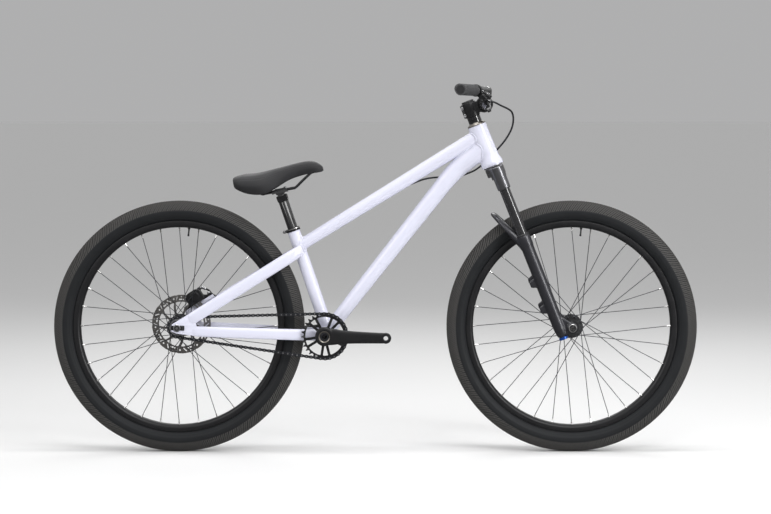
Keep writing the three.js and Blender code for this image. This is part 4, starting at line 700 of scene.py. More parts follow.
RECIPES = {
    "frame_paint": recipe("frame_paint", "paint", 0.03, 900, (0.26, 0.34), 0.08, 0.1,
        shader={"Coat Weight": 0.5, "Coat Roughness": 0.08}),
    # The black finishes carry a painted edge highlight: their sharp edges are lightened towards grey
    "gloss_black": recipe("black_gloss", "black", 0.15, 1200, (0.1, 0.17), 0.03, 0.05,
        wear=0.05, shader={"Coat Weight": 1.0, "Coat Roughness": 0.05}),
    "satin_black": recipe("black_satin", "black", 0.2, 1500, (0.3, 0.4), 0.12, 0.06,
        wear=0.1, shader={"Specular IOR Level": 0.35}),
    "fork_grey": recipe("fork_grey", "fork", 0.12, 1400, (0.36, 0.44), 0.12, 0.06,
        metal=0.5, shader={"Coat Weight": 0.6, "Coat Roughness": 0.25}),
    "crown_grey": recipe("crown_grey", "crown", 0.1, 1500, (0.26, 0.36), 0.14, 0.06, metal=0.85),
    "blue": recipe("blue", "knob", 0.1, 1600, (0.28, 0.36), 0.1, 0.05, metal=0.7),
    "champagne": recipe("champagne", "champagne", 0.08, 1600, (0.26, 0.36), 0.1, 0.05, metal=0.85),
    "silver": recipe("silver", "silver", 0.08, 1800, (0.2, 0.32), 0.1, 0.04, metal=0.95, pattern="along"),
    "steel": recipe("steel", "steel", 0.12, 1600, (0.25, 0.38), 0.12, 0.05, metal=0.95),
    "dark_steel": recipe("dark_steel", "dark_steel", 0.15, 1500, (0.26, 0.4), 0.1, 0.05, metal=0.8),
    "rotor_steel": recipe("rotor_steel", "rotor", 0.1, 2600, (0.24, 0.34), 0.25, 0.04,
        metal=0.9, pattern="rings"),
    "sidewall": recipe("tyre", "sidewall", 0.14, 700, (0.52, 0.62), 0.35, 0.12,
        pattern="rings", shader={"Specular IOR Level": 0.2}),
    "tread": recipe("tyre", "tread", 0.22, 900, (0.72, 0.86), 0.4, 0.2, shader={"Specular IOR Level": 0.3}),
    "grip_rubber": recipe("grip", "grip", 0.14, 1300, (0.62, 0.76), 0.35, 0.12,
        shader={"Specular IOR Level": 0.35}),
    "plastic": recipe("black_plastic", "plastic", 0.14, 1300, (0.46, 0.58), 0.3, 0.08),
    "saddle_skin": recipe("saddle_cover", "saddle", 0.22, 620, (0.5, 0.64), 0.35, 0.16,
        pattern="leather", shader={"Sheen Weight": 0.12, "Specular IOR Level": 0.35}),
}
MADE = {}


def finish(name, centre=(0, 0, 0)):
    """The finish of that name and its material slot, centred on an axle where its pattern needs one."""
    key = (name, tuple(round(value, 3) for value in centre))
    if key not in MADE:
        recipe = RECIPES[name]
        colour = getattr(bpy.context.scene.bike_colours, recipe["colour"])
        label = name if not any(key[1]) else f"{name}_{len(MADE)}"
        MADE[key] = (make_finish(label, recipe, tuple(colour), centre), recipe["slot"])
    return MADE[key]


# Frame tubes
TOP_SEAT = SEAT_TOP - SEAT_UP * 49.6
TOP_HEAD = HEAD_FOOT + STEER_UP * 90.6
DOWN_HEAD = HEAD_FOOT + STEER_UP * 51.4
DOWN_LINE = sloped(36.4, -1, -1)
DOWN_BEND = DOWN_HEAD + DOWN_LINE * 100.8
BEND_REACH = 55.0


def head_radius(along):
    return table([(0, 30.5), (7, 30.5), (12, 29.3), (18, 27.8), (24, 26.6), (30, 26), (117, 25.2)], along)


def down_tube():
    before = DOWN_BEND.lerp(BRACKET, BEND_REACH / (DOWN_BEND - BRACKET).length)
    after = DOWN_BEND - DOWN_LINE * BEND_REACH
    path, widths, heights = [BRACKET], [20.0], [17.5]
    for k in range(1, 9):
        path.append(BRACKET.lerp(before, k / 9))
        widths.append(mix(20, 22, k / 9))
        heights.append(mix(17.5, 22.8, k / 9))
    for k in range(13):
        t = k / 12
        path.append(before * (1 - t) ** 2 + DOWN_BEND * 2 * t * (1 - t) + after * t ** 2)
        widths.append(22.0)
        heights.append(mix(22.8, 27, t))
    for k in range(1, 5):
        path.append(after.lerp(DOWN_HEAD, k / 4))
        widths.append(mix(22, 24, k / 4))
        heights.append(mix(27, 28.4, k / 4))
    tube = Tube(path, widths, heights, sides=56, roundness=0.94)
    lifts = [(0, 0), (3, 1.5), (9, 2), (15, 3), (21, 3.6)]
    tube.centres = [centre + over * table(lifts, k)
                    for k, (centre, (_, over, _)) in enumerate(zip(path, tube.frames))]
    return tube


def top_tube():
    count = 12
    path = [TOP_SEAT.lerp(TOP_HEAD, k / count) for k in range(count + 1)]
    return Tube(path, [mix(16.5, 20, k / count) for k in range(count + 1)],
                [mix(16, 19, k / count) for k in range(count + 1)], sides=56, roundness=0.94)


def stay_tube(start, line, stations):
    """A stay from stations of (along, across, half width, half height), as shares of its length."""
    path, widths, heights = faired([
        (start + line * (along * CHAINSTAY) + Vector((0, -across * HUB_WIDTH, 0)), wide, high)
        for along, across, wide, high in stations
    ], 6)
    return Tube(path, widths, heights, sides=40, roundness=0.8)


def seatstay():
    stations = [(0.1, 0.528, 4.2, 14.6), (0.133, 0.528, 6.6, 15.8), (0.2, 0.528, 7.25, 16),
                (0.38, 0.475, 7.25, 16), (0.55, 0.415, 7.25, 16), (0.76, 0.319, 7.25, 16),
                (0.85, 0.263, 7.25, 16), (0.915, 0.2, 7.2, 15.8), (0.96, 0.142, 6.6, 14.6),
                (0.995, 0.095, 4.6, 11)]
    return stay_tube(REAR, sloped(STAY_ANGLE), stations)


def chainstay():
    stations = [(0.105, 0.528, 4.2, 12.4), (0.142, 0.528, 6.4, 13.7), (0.24, 0.528, 7, 14),
                (0.38, 0.49, 7, 14.3), (0.5, 0.445, 7, 14.5), (0.66, 0.37, 7, 14.8), (0.76, 0.315, 7, 15),
                (0.84, 0.262, 7, 15.2), (0.93, 0.2, 7, 15.4), (1.0, 0.185, 7, 15.5)]
    return stay_tube(CHAINSTAY_END, (BRACKET - CHAINSTAY_END).normalized(), stations)


def round_tube(start, end, radius, count=10, hint=FORWARD):
    return Tube([start.lerp(end, k / count) for k in range(count + 1)], radius, radius, hint, 48)


def weld_line(tube, others, near, far, count=72):
    """Where a tube's skin meets the others, between a place outside them and one inside."""
    points = []
    for k in range(count):
        angle = TURN * k / count
        out, inside = near, far
        for _ in range(16):
            middle = (out + inside) / 2
            if min(other.outside(tube.at(middle, angle)) for other in others) > 0:
                out = middle
            else:
                inside = middle
        points.append(tube.at(out, angle))
    return points


def bead_places(loop, size, pitch, mirror=False):
    bead = (size, size * 0.75, size)
    places = []
    for point, way in spaced(loop, pitch, closed=True):
        places.append((point, facing_along(way), bead))
        if mirror:
            places.append((flipped(point), facing_along(flipped(way)), bead))
    return places


def small_ball(radius=1.0):
    """A round bead of few faces."""
    rows = 5
    profile = [(radius * math.sin(math.pi * k / rows), -radius * math.cos(math.pi * k / rows))
               for k in range(rows + 1)]
    profile[0], profile[-1] = (0, -radius), (0, radius)
    return lathe(profile, 8)


def stay_along(along, over):
    c, s = math.cos(math.radians(STAY_ANGLE)), math.sin(math.radians(STAY_ANGLE))
    return along * c - over * s, along * s + over * c


def dropout_outline():
    line = (BRACKET - CHAINSTAY_END).normalized()
    angle = math.radians(STAY_ANGLE)

    def chain_along(along, over):
        return along * line.x - over * line.z, along * line.z + over * line.x - CHAINSTAY_DROP

    tip = stay_along((-16 + 16 * math.sin(angle)) / math.cos(angle), 15.4)
    body = [tip, stay_along(52, 15.2), stay_along(60, 10), stay_along(60, -10), stay_along(50, -15.2),
            chain_along(52, 14.2), chain_along(56, 10), chain_along(64, 8), chain_along(64, -8),
            chain_along(54, -13)]
    lower = [(22.4, -17.7), (-1.9, -14.4), (-16, -8)]
    slot = [(-16, -6.4), (17.9, -6.4), (20, -3.2), (20, 3.2), (17.9, 6.4), (-16, 6.4)]
    return eased(body, 3.5, 4) + lower + slot


def make_frame():
    paint, satin = finish("frame_paint"), finish("satin_black")
    down, top = down_tube(), top_tube()
    seat = round_tube(SEAT_FOOT, SEAT_TOP, 17.0)
    shell = round_tube(BRACKET - SIDE * 36.5, BRACKET + SIDE * 36.5, 22.0, 2, UP)
    rises = [HEAD_LENGTH * k / 24 for k in range(25)]
    radii = [head_radius(rise) for rise in rises]
    head = Tube([HEAD_FOOT + STEER_UP * rise for rise in rises], radii, radii, FORWARD)
    flare = [(head_radius(rise), rise) for rise in (7, 10, 13, 16, 19, 22, 25, 28, 32, 60, 90)]
    profile = [(22.5, 0), (29.9, 0), (30.5, 0.6), *flare, (25.2, 116.3), (24.5, 117), (22.5, 117)]
    piece("head_tube_painted", placed(upright(lathe(profile, 72)), STEER), paint, "frame", ("head_tube",))
    piece("bracket_shell_painted", placed(ring(19.9, 22, -36.5, 36.5, 0.7, 64), AT_BRACKET), paint, "frame",
          ("bottom_bracket_shell",))
    collar = placed(upright(lathe([(13.8, -40), (17, -40), (17, -0.6), (16.4, 0), (13.8, 0)], 56)), SEAT)
    piece("seat_tube_painted", merged(round_tube(SEAT_FOOT, SEAT_TOP - SEAT_UP * 38, 17.0).shape(), collar),
          paint, "frame", ("seat_tube",))
    piece("top_tube_painted", top.shape(), paint, "frame", ("top_tube",))
    piece("down_tube_painted", down.shape(), paint, "frame", ("down_tube",))
    upper, lower = seatstay(), chainstay()
    for side, turn in (("right", lambda s: s), ("left", mirrored)):
        piece(f"seatstay_{side}_painted", turn(upper.shape()), paint, "frame", (f"seatstay_{side}",))
        piece(f"chainstay_{side}_painted", turn(lower.shape()), paint, "frame", (f"chainstay_{side}",))
    plate = prism(dropout_outline(), 67.5, 75)
    rail = [stay_along(24.7, 8), stay_along(52.3, 8), stay_along(52.3, 16.6), stay_along(113.9, 16.6),
            stay_along(113.9, 24), stay_along(24.7, 24)]
    mount = prism(eased(rail, 2.5, 3), 60, 72)
    piece("dropout_right_painted", placed(mirrored(plate), AT_REAR), paint, "frame", ("dropout_right",),
          bevel=1.1)
    piece("dropout_left_painted", placed(merged(plate, mount), AT_REAR), paint, "frame", ("dropout_left",),
          bevel=1.0)

    upper_last, lower_last = len(upper.centres) - 1, len(lower.centres) - 1
    middle = [(top, [head, down], 7, 12), (top, [seat], 4, 0), (down, [head], 21, len(down.centres) - 1),
              (down, [shell, seat], 5, 0), (seat, [shell], 3, 0)]
    stays = [(upper, [seat, top], upper_last * 0.7, upper_last),
             (lower, [shell, seat], lower_last * 0.8, lower_last)]
    size = bpy.context.scene.bike_sizes.weld_bead / MM / 2
    places = []
    for welds, mirror in ((middle, False), (stays, True)):
        for weld in welds:
            places += bead_places(weld_line(*weld), size, size * 0.72, mirror)
    on_points("weld_beads", small_ball(), places, paint, "frame", sharp=80)

    band = ring(17.4, 18.8, -6.6, 2.4, 0.4, 64)
    ears = merged(box(-28, -17.6, 1.5, 7, -5, 2), box(-28, -17.6, -7, -1.5, -5, 2))
    piece("seat_clamp_ring", placed(merged(upright(band), ears), SEAT), satin, "frame", ("seat_clamp",),
          bevel=0.9)
    # A thin silver ring along the top edge of the seat clamp: a painted highlight, standing in for light
    # caught on that edge
    line = placed(upright(ring(18.5, 19.1, -0.8, 0.7, 0.1, 64)), SEAT)
    piece("seat_clamp_line", line, finish("silver"), "frame")
    screw = moved(socket_screw(3.6, 3.6, 2.0), -25, 7, -1)
    nut = moved(disc(3.8, -10, -7, 0.5, 32), -25, 0, -1)
    piece("seat_clamp_screw", placed(merged(screw, nut), SEAT), finish("steel"), "frame")

    clips = [((212, 29, 741), (-1, 0, -0.1), 1.0), ((60, 24, 703.5), (-0.87, 0, -0.5), 1.0),
             ((-60, 24, 631), (-0.87, 0, -0.5), 1.0), ((-290, 56.8, 492), (-0.83, 0.15, -0.53), 1.0),
             ((-360, 69, 448), (-0.83, 0.13, -0.53), 1.0)]
    on_points("hose_guides", ring(2.4, 4.0, -5, 5, 0.5, 20), places_on(Matrix(), clips), paint, "frame")


# Headset, fork and front axle
def on_leg(shape, side=1):
    """A shape moved from the steering axis to a leg's axis."""
    return moved(shape, LEG_AHEAD, side * LEG_SIDE)


def make_fork():
    crown, grey = finish("crown_grey"), finish("fork_grey")
    gloss, satin, steel = finish("gloss_black"), finish("satin_black"), finish("steel")
    cover = upright(lathe([(14.6, 117.3), (24.6, 117.3), (25.2, 117.9), (25.2, 119.6), (24.2, 121),
                           (19.5, 123.6), (18.4, 125.1), (14.6, 125.1)], 64))
    piece("headset_cover_turned", placed(cover, STEER), finish("champagne"), "steering", ("headset_cover",))
    spacer = upright(lathe([(14.6, 125.5), (17.5, 125.5), (18, 126), (18, 133.6), (17.6, 134), (18, 134.4),
                            (18, 142.1), (17.5, 142.5), (14.6, 142.5)], 64))
    piece("headset_spacer_turned", placed(spacer, STEER), gloss, "steering", ("headset_spacer",))
    refinish(steel, "headset_bearing_lower", "headset_bearing_upper")

    half = [(-20, 0), (-23.5, 12), (-22, 24), (-12, 50), (-11, 65), (-6, 76.5), (6, 82.8), (18, 76.5),
            (22, 65), (24, 50), (27, 24), (26, 10), (26, 0)]
    outline = half + [(x, -y) for x, y in reversed(half[1:-1])]
    bridge = prism(eased(outline, 4, 3), -36, -4, axis="Z")
    boss = upright(lathe([(0, -68), (16.6, -68), (17.8, -66.5), (18, -50), (18, -36), (18, -5.5), (16.8, -4),
                          (0, -4)], 48))
    foot = upright(lathe([(0, -34), (24, -34), (24.5, -8), (23, -3.7), (19.8, -3.7), (19.8, 7), (14.3, 58),
                          (14.3, 180), (0, 180)], 48))
    hollow = prism(eased([(-30, -40), (30, -40), (30, 40), (-30, 40)], 12, 4), -60, -27, axis="Z")
    forging = merged(bridge, on_leg(boss), on_leg(boss, -1), foot)
    cast("crown_forged", placed(forging, STEER), crown, "steering", ("fork_crown",), grain=1.3, relax=5,
         cuts=placed(hollow, STEER))
    tube = upright(lathe([(0, -4), (13.6, -4), (14, -4.4), (14, -376), (12, -376), (12, -6), (0, -6)], 64))
    cap = upright(lathe([(0, -3.9), (12.6, -3.9), (12.6, -1.2), (11.8, -0.4), (6, -0.4), (6, -2.4),
                         (0, -2.4)], 40))
    for name, side in (("right", -1), ("left", 1)):
        piece(f"stanchion_{name}_polished", placed(on_leg(tube, side), STEER), gloss, "steering",
              (f"stanchion_{name}",))
        piece(f"stanchion_{name}_cap", placed(on_leg(cap, side), STEER), satin, "steering")

    leg = upright(lathe([(0, -493), (11.2, -493), (12.8, -491), (14.6, -484), (16.2, -474), (16.9, -462),
                         (17, -400), (17, -250), (17.3, -236), (18.6, -229), (18.8, -214), (18.2, -206),
                         (17.2, -202), (0, -202)], 48))
    arch_path, wide, high = faired([
        (Vector((-4, -65, -222)), 8.5, 12), (Vector((-22.6, -55.9, -178.2)), 7.5, 10.5),
        (Vector((-39.8, -32.5, -138.7)), 7, 9.5), (Vector((-46, 0, -125)), 6.5, 9),
        (Vector((-39.8, 32.5, -138.7)), 7, 9.5), (Vector((-22.6, 55.9, -178.2)), 7.5, 10.5),
        (Vector((-4, 65, -222)), 8.5, 12)], 8)
    arch = Tube(arch_path, wide, high, Vector((-0.707, 0, 0.707)), 24).shape()
    web = prism(eased([(0, -487), (30, -493), (48, -486), (48, -474), (38, -464), (6, -420)], 5, 4), 54, 75)
    lug = moved(disc(13.4, 50.4, 78, 1.2), FORK_OFFSET, 0, -FORK_LENGTH)
    post = merged(*(prism(eased([(-25, -d - 8), (6, -d - 18), (6, -d + 18), (-25, -d + 8)], 3, 3), 57, 73)
                    for d in LEG_MOUNTS))
    side = merged(on_leg(leg), web, lug, post)
    bores = both(merged(on_leg(upright(disc(14.35, -484, -150, 0.2, 48))),
                        moved(disc(7.8, 40, 90, 0.1, 32), FORK_OFFSET, 0, -FORK_LENGTH)))
    cast("fork_lowers_cast", placed(merged(both(side), arch), STEER), grey, "fork_slider",
         ("fork_lowers",), grain=1.6, relax=5, cuts=placed(bores, STEER))
    seal = upright(lathe([(14.1, -204), (17.6, -204), (17.9, -200.5), (16.8, -199.4), (15.4, -199),
                          (14.1, -197.4)], 48))
    piece("fork_seals", placed(both(on_leg(seal)), STEER), finish("plastic"), "fork_slider")
    bolts = [((42, -71, -466), (0.4, -1, 0.3), 1.0), ((30, -74.5, -468), (0.4, -1, 0.3), 0.9),
             ((42, 71, -466), (0.4, 1, 0.3), 1.0)]
    on_points("fork_pinch_screws", socket_screw(3.4, 3, 1.8, 3), places_on(STEER, bolts), satin,
              "fork_slider")
    posts = [((-25.2, LEG_SIDE, -d), -FORWARD, 1.0) for d in LEG_MOUNTS]
    on_points("brake_post_threads", ring(3.0, 4.6, -1.2, 0.6, 0.3, 24), places_on(STEER, posts), steel,
              "fork_slider")
    foot_ring = upright(ring(5.5, 10.8, -493.4, -491, 0.5, 40))
    piece("fork_foot_washers", placed(both(on_leg(foot_ring)), STEER), satin, "fork_slider")
    head = [(4.5, 80.4), (8.5, 80.4), (8.8, 83.8), (10.4, 83.8), (11, 83.2), (11, 79.1), (10.2, 78.3),
            (7.5, 78.3)]
    axle = lathe([(radius, -along) for radius, along in head] + head[::-1], 48)
    piece("front_axle_turned", placed(axle, AT_FRONT), finish("silver"), "fork_slider", ("front_axle",))
    socket = both(prism(circle(8.3, 40), 80.5, 82.8, [circle(5.4, 6)]))
    piece("front_axle_sockets", placed(socket, AT_FRONT), finish("plastic"), "fork_slider", bevel=0.3)
    knob = upright(lathe([(0, -501.3), (10.8, -501.3), (11.6, -500.5), (11.6, -495), (10.8, -494.2),
                          (7.4, -493.6), (7.4, -493.3), (0, -493.3)], 40))
    piece("rebound_knob_turned", placed(on_leg(knob, -1), STEER), finish("blue"), "rebound_dial",
          ("rebound_knob",))
    rib = box(11.3, 12, -0.8, 0.8, -500.6, -494.8)
    ribs = merged(*(placed(rib, Matrix.Rotation(TURN * k / 20, 4, "Z")) for k in range(20)))
    piece("rebound_knob_ribs", placed(on_leg(ribs, -1), STEER), finish("blue"), "rebound_dial")


# Stem, bar, grips, lever and hose
def bar_point(side, along):
    """A point of the bar's straight part, so far from the middle on a side."""
    back, up = math.tan(math.radians(BAR_SWEEP)), math.tan(math.radians(BAR_UPSWEEP))
    ahead = STEM_REACH + BAR_AHEAD - (along - BAR_BEND) * back
    return Vector((ahead, side * along, BAR_HEIGHT + BAR_RISE - (BAR_HALF_WIDTH - along) * up))


def make_cockpit():
    satin, gloss, steel = finish("satin_black"), finish("gloss_black"), finish("steel")
    rubber, plain = finish("grip_rubber"), Vector((STEM_REACH, 0, BAR_HEIGHT))
    post = upright(lathe([(14.6, 142.8), (18.7, 142.8), (19.5, 143.6), (19.5, 182), (18.7, 182.8),
                          (14.6, 182.8)], 56))
    neck = prism(eased([(2, BAR_HEIGHT - 16.5), (STEM_REACH, BAR_HEIGHT - 15.5),
                        (STEM_REACH, BAR_HEIGHT + 15.5), (2, BAR_HEIGHT + 16.5)], 3, 3), -16.5, 16.5)
    pinch = box(-24, -14, -10, 10, 145, 181)
    rear_half = prism([polar(22, math.pi / 2 + math.pi * k / 20) for k in range(21)]
                      + [polar(16.3, math.pi * 1.5 - math.pi * k / 20) for k in range(21)], -24, 24)
    front_half = placed(rear_half, Matrix.Rotation(math.pi, 4, "Y"))
    clamp = moved(rear_half, STEM_REACH - 1.2, 0, BAR_HEIGHT)
    piece("stem_forged", placed(merged(post, neck, pinch, clamp), STEER), satin, "steering", ("stem",),
          bevel=1.2)
    corners = [(y, z) for y in (-17.5, 17.5) for z in (BAR_HEIGHT - 20.5, BAR_HEIGHT + 20.5)]
    ribs = merged(*(box(STEM_REACH + 1.4, STEM_REACH + 8, y - 5, y + 5, z - 4.5, z + 4.5) for y,
                    z in corners))
    faceplate = merged(moved(front_half, STEM_REACH + 1.2, 0, BAR_HEIGHT), ribs)
    piece("stem_faceplate_forged", placed(faceplate, STEER), satin, "steering", ("stem_faceplate",),
          bevel=1.0)
    screws = [((STEM_REACH + 7.6, y, z), FORWARD, 1.0) for y, z in corners]
    screws += [((-20, -9.8, z), -SIDE, 1.0) for z in (152, 173)]
    on_points("stem_screws", socket_screw(4.0, 3.2, 2.0), places_on(STEER, screws), steel, "steering")
    cap = upright(lathe([(0, 183.1), (16.2, 183.1), (17, 184), (16.6, 187.2), (15.4, 188.1), (6.4, 188.1),
                         (5.6, 187), (0, 187)], 48))
    piece("top_cap_turned", placed(cap, STEER), satin, "steering", ("top_cap",))
    screw = moved(upright(socket_screw(4.6, 3, 2.4)), 0, 0, 183.4)
    piece("top_cap_screw", placed(screw, STEER), steel, "steering")

    bends = [plain + Vector(away) for away in ((0, -26.4, 0), (0, -34, 0), (1.6, -47.6, 3.1),
                                               (19.2, -101.2, 31.6))]
    rise = smooth_path([*bends, bar_point(-1, BAR_BEND), bar_point(-1, 162.5)], 8)
    half = [plain, *rise, bar_point(-1, GRIP_INNER_END), bar_point(-1, 384.8)]
    path = [*reversed(half), *(flipped(point) for point in half[1:])]
    radii = [table([(34, 15.9), (60, 14.2), (125, 11.1)], abs(p.y)) for p in path]
    piece("handlebar_bent", placed(Tube(path, radii, radii, sides=32).shape(), STEER), gloss, "steering",
          ("handlebar",))

    for side, name in ((-1, "right"), (1, "left")):
        inner, outer = bar_point(side, GRIP_INNER_END), bar_point(side, 388)
        way = (outer - inner).normalized()
        length = (outer - inner).length
        sleeve = lathe([(11.5, 0.4), (14.6, 0.4), (15, 1), (15, 4), (14.1, 5), (14.1, length - 5),
                        (15, length - 4), (15, length - 1.2), (13.8, length), (0, length)], 40)
        at = Matrix.Translation(inner) @ facing_along(way)
        piece(f"grip_{name}_sleeve", placed(sleeve, STEER @ at), rubber, "steering", (f"grip_{name}",))
        rib = lathe([(13.9, -1.0), (14.75, -0.5), (14.75, 0.5), (13.9, 1.0)], 32)
        margin, apart = 8, 3.1
        ribs = [(inner + way * (margin + apart * k), way, 1.0)
                for k in range(int((length - 2 * margin) / apart) + 1)]
        on_points(f"grip_{name}_ribs", rib, places_on(STEER, ribs), rubber, "steering")
        plug = placed(disc(11.6, length - 0.6, length + 0.25, 0.4, 32), STEER @ at)
        piece(f"grip_{name}_plug", plug, satin, "steering")

    make_lever()
    make_hose()


def lever_frame():
    """The lever's own frame: ahead along the barrel's reach, inboard along the bar, and over."""
    inboard = (bar_point(-1, LEVER_PLACE) - bar_point(-1, LEVER_PLACE + 15)).normalized()
    reach = sloped(63.6, 1, -1)
    reach = (reach - inboard * reach.dot(inboard)).normalized()
    over = reach.cross(inboard)
    turn = Matrix((reach, inboard, over)).transposed().to_4x4()
    return STEER @ Matrix.Translation(bar_point(-1, LEVER_PLACE)) @ turn


def make_lever():
    satin, steel = finish("satin_black"), finish("steel")
    at = lever_frame()
    clamp = ring(11.5, 16.5, -7, 7, 0.8, 40)
    neck = box(12, 29, -6.5, 6.5, -8, 8)
    barrel = moved(lathe([(0, -20), (7.6, -20), (9, -18), (9, 26), (7.6, 30), (7.2, 38), (6, 42), (0, 42)],
                         32), 29)
    tank = prism(eased([(20.5, -16), (39.5, -16), (39.5, 23), (20.5, 23)], 6, 5), 2, 15, axis="Z")
    ears = merged(*(prism(eased([(29, -7), (47, -7), (53.6, -14), (47, -21), (29, -21)], 3, 4), low, low + 3,
                          axis="Z") for low in (4.3, -7.3)))
    well = box(35.75, 60, -30, 25, -4.4, 4.4)
    cast("lever_body_cast", placed(merged(clamp, neck, barrel, tank, ears), at), satin, "steering",
         ("brake_lever_body",), grain=0.8, relax=4, cuts=placed(well, at))
    pin = upright(lathe([(0, -7.9), (2.4, -7.9), (3, -7.3), (3, 7.3), (2.4, 7.9), (0, 7.9)], 24))
    cover = prism(eased([(22.4, -14), (37.6, -14), (37.6, 21), (22.4, 21)], 5, 5), 15, 16, axis="Z")
    piece("lever_tank_cover", placed(cover, at), finish("plastic"), "steering", bevel=0.3)
    screws = [((30, -11, 15.6), UP, 0.5), ((30, 18, 15.6), UP, 0.5), ((14.5, 0, 10), UP, 0.9)]
    on_points("lever_screws", socket_screw(3.6, 2.6, 1.8, 2), places_on(at, screws), steel, "steering")
    piece("lever_pin", placed(moved(pin, 47, -14), at), steel, "steering")
    stations = [(Vector((47, -14, 0)), 5.2, 4), (Vector((53, -22, 0)), 5.4, 3.9),
                (Vector((62.5, -34, 0)), 4.6, 3.6), (Vector((69.4, -52, 0)), 4.2, 3.5),
                (Vector((73.6, -72, 0)), 4.4, 3.5), (Vector((75.8, -92, 0)), 4.8, 3.4),
                (Vector((78.4, -102, 0)), 5, 3.2), (Vector((81, -105.6, 0)), 3.2, 2.2)]
    path, wide, high = faired(stations, 6)
    blade = Tube(path, wide, high, UP, 20, 0.8).shape()
    hub = moved(upright(ring(3.3, 6.4, -3.9, 3.9, 0.5, 32)), 47, -14)
    cast("lever_blade_forged", placed(merged(blade, hub), at), satin, "lever", ("brake_lever",), grain=0.7,
         relax=4, cuts=placed(moved(upright(disc(3.3, -12, 12, 0.1, 24)), 47, -14), at))


HOSE_LOOP = [(305, -193, 948), (320, -179, 943), (338, -158, 934), (355, -134, 926), (366, -107, 917),
             (371, -70, 898), (367, -30, 871), (352, 2, 842), (334, 24, 819), (314, 38, 797),
             (290, 39.5, 773), (267.5, 35.5, 756.6), (252, 33, 750)]
HOSE_RUN = [(251.5, 32.9, 749.8), (236, 30.8, 744), (212, 29, 741), (186, 27, 739), (160, 25.5, 738),
            (134, 24.5, 734.1), (104, 24, 723.4), (60, 24, 703.5), (-60, 24, 631), (-120, 24, 596.5),
            (-160, 24, 579), (-192, 25, 570.5), (-220, 36, 549), (-235, 43.5, 531), (-250, 47.8, 518),
            (-290, 56.8, 492), (-360, 69, 448), (-400, 74.6, 423), (-424, 77.6, 410.5), (-446, 77.2, 416),
            (-457.5, 72.5, 428.5), (-464, 66.2, 432.3), (-470, 65, 435)]


def make_hose():
    rubber = finish("plastic")
    loop = [point for point, _ in spaced(smooth_path(HOSE_LOOP, 8), 4)]
    holder = raw_object("brake_hose_loop_tube", rod(loop, HOSE_RADIUS, 14))
    finished(holder, rubber, None, ("brake_hose_loop",), 60)
    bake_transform(holder)
    run = [point for point, _ in spaced(smooth_path(HOSE_RUN, 8), 5)]
    piece("brake_hose_tube", rod(run, HOSE_RADIUS, 14), rubber, "frame", ("brake_hose",), sharp=60)
    at = Matrix.Translation(Vector(HOSE_LOOP[0])) @ facing_along(Vector(HOSE_LOOP[0]) - Vector(HOSE_LOOP[1]))
    sleeve = lathe([(0, -4), (3.2, -4), (3.8, -3), (3.8, 5), (4.6, 5.6), (4.6, 9), (0, 9)], 24)
    piece("hose_lever_fitting", placed(sleeve, at), finish("steel"), "steering")


# Wheels
def tread_top(angle):
    return table([(0, 28.9), (10, 29.3), (20, 30.5), (27, 30.9), (40, 29.8), (62, 28.9), (139, 28.9)],
                 abs(angle))


def casing_radius(angle):
    return tread_top(angle) - table([(0, 2.3), (60, 2.3), (78, 1.3), (84, 0.0), (139, 0.0)], abs(angle))


def tyre_profile():
    angles = [-139 + 278 * k / 60 for k in range(61)]
    outer = []
    for angle in angles:
        radius = casing_radius(angle)
        if 104 < abs(angle) < 108 or 124 < abs(angle) < 127:
            radius += 0.5
        a = math.radians(angle)
        outer.append((SECTION_CENTRE + radius * math.cos(a), radius * math.sin(a)))
    left = [(285.6, 14.1), (280, 14.1), (281, 10)]
    inner = [(SECTION_CENTRE + 26 * math.cos(math.radians(a)), 26 * math.sin(math.radians(a)))
             for a in (128, 100, 70, 40, 0, -40, -70, -100, -128)]
    right = [(281, -10), (280, -14.1), (285.6, -14.1)]
    return outer + left + inner + right


def tread_block(across, along, wide, long, turn):
    """A small block on the tread: its place across the tyre, its size and its slant."""
    angle = math.radians(across)
    top, foot = tread_top(across), casing_radius(across) - 0.6
    normal = Vector((0, math.sin(angle), math.cos(angle)))
    sideways = Vector((0, math.cos(angle), -math.sin(angle)))
    c, s = math.cos(math.radians(turn)), math.sin(math.radians(turn))
    first, second = sideways * c + FORWARD * s, FORWARD * c - sideways * s
    centre = Vector((along, 0, SECTION_CENTRE))
    points = []
    for height, share in ((foot, 1.0), (top, 0.82)):
        for a, b in ((-1, -1), (1, -1), (1, 1), (-1, 1)):
            across_it, along_it = first * (a * wide * share / 2), second * (b * long * share / 2)
            points.append(centre + normal * height + across_it + along_it)
    return points, [(4, 5, 6, 7), (0, 1, 5, 4), (1, 2, 6, 5), (2, 3, 7, 6), (3, 0, 4, 7)]


def tread_rib(side, along, wide):
    """A slanted rib down the shoulder of the tyre, its outer end ahead."""
    places = (30, 43, 56, 69, 82)
    points = []
    for place in places:
        angle = math.radians(side * place)
        normal = Vector((0, math.sin(angle), math.cos(angle)))
        ahead = along + 0.3 * (56 - place)
        for height in (casing_radius(place) - 0.6, tread_top(place)):
            for edge in (-wide / 2, wide / 2):
                points.append(Vector((ahead + edge, 0, SECTION_CENTRE)) + normal * height)
    last = 4 * len(places) - 4
    faces = [(0, 1, 3, 2), (last, last + 2, last + 3, last + 1)]
    for k in range(0, last, 4):
        faces += [(k + 2, k + 3, k + 7, k + 6), (k, k + 2, k + 6, k + 4), (k + 1, k + 5, k + 7, k + 3)]
    return points, faces


def tread_row(pitch):
    """One row of tread: small blocks in the middle and two ribs down each shoulder."""
    shapes = []
    for side in (-1, 1):
        for share in (-0.5, 0):
            shapes.append(tread_block(side * 5.5, (share + side * 0.12) * pitch, 4.2, pitch * 0.36,
                                      side * 28))
            shapes.append(tread_block(side * 15, (share + 0.2) * pitch, 3.8, pitch * 0.34, side * 32))
            shapes.append(tread_block(side * 24, (share + 0.42) * pitch, 3.6, pitch * 0.34, side * 32))
            shapes.append(tread_rib(side, share * pitch, pitch * 0.27))
    return merged(*shapes)


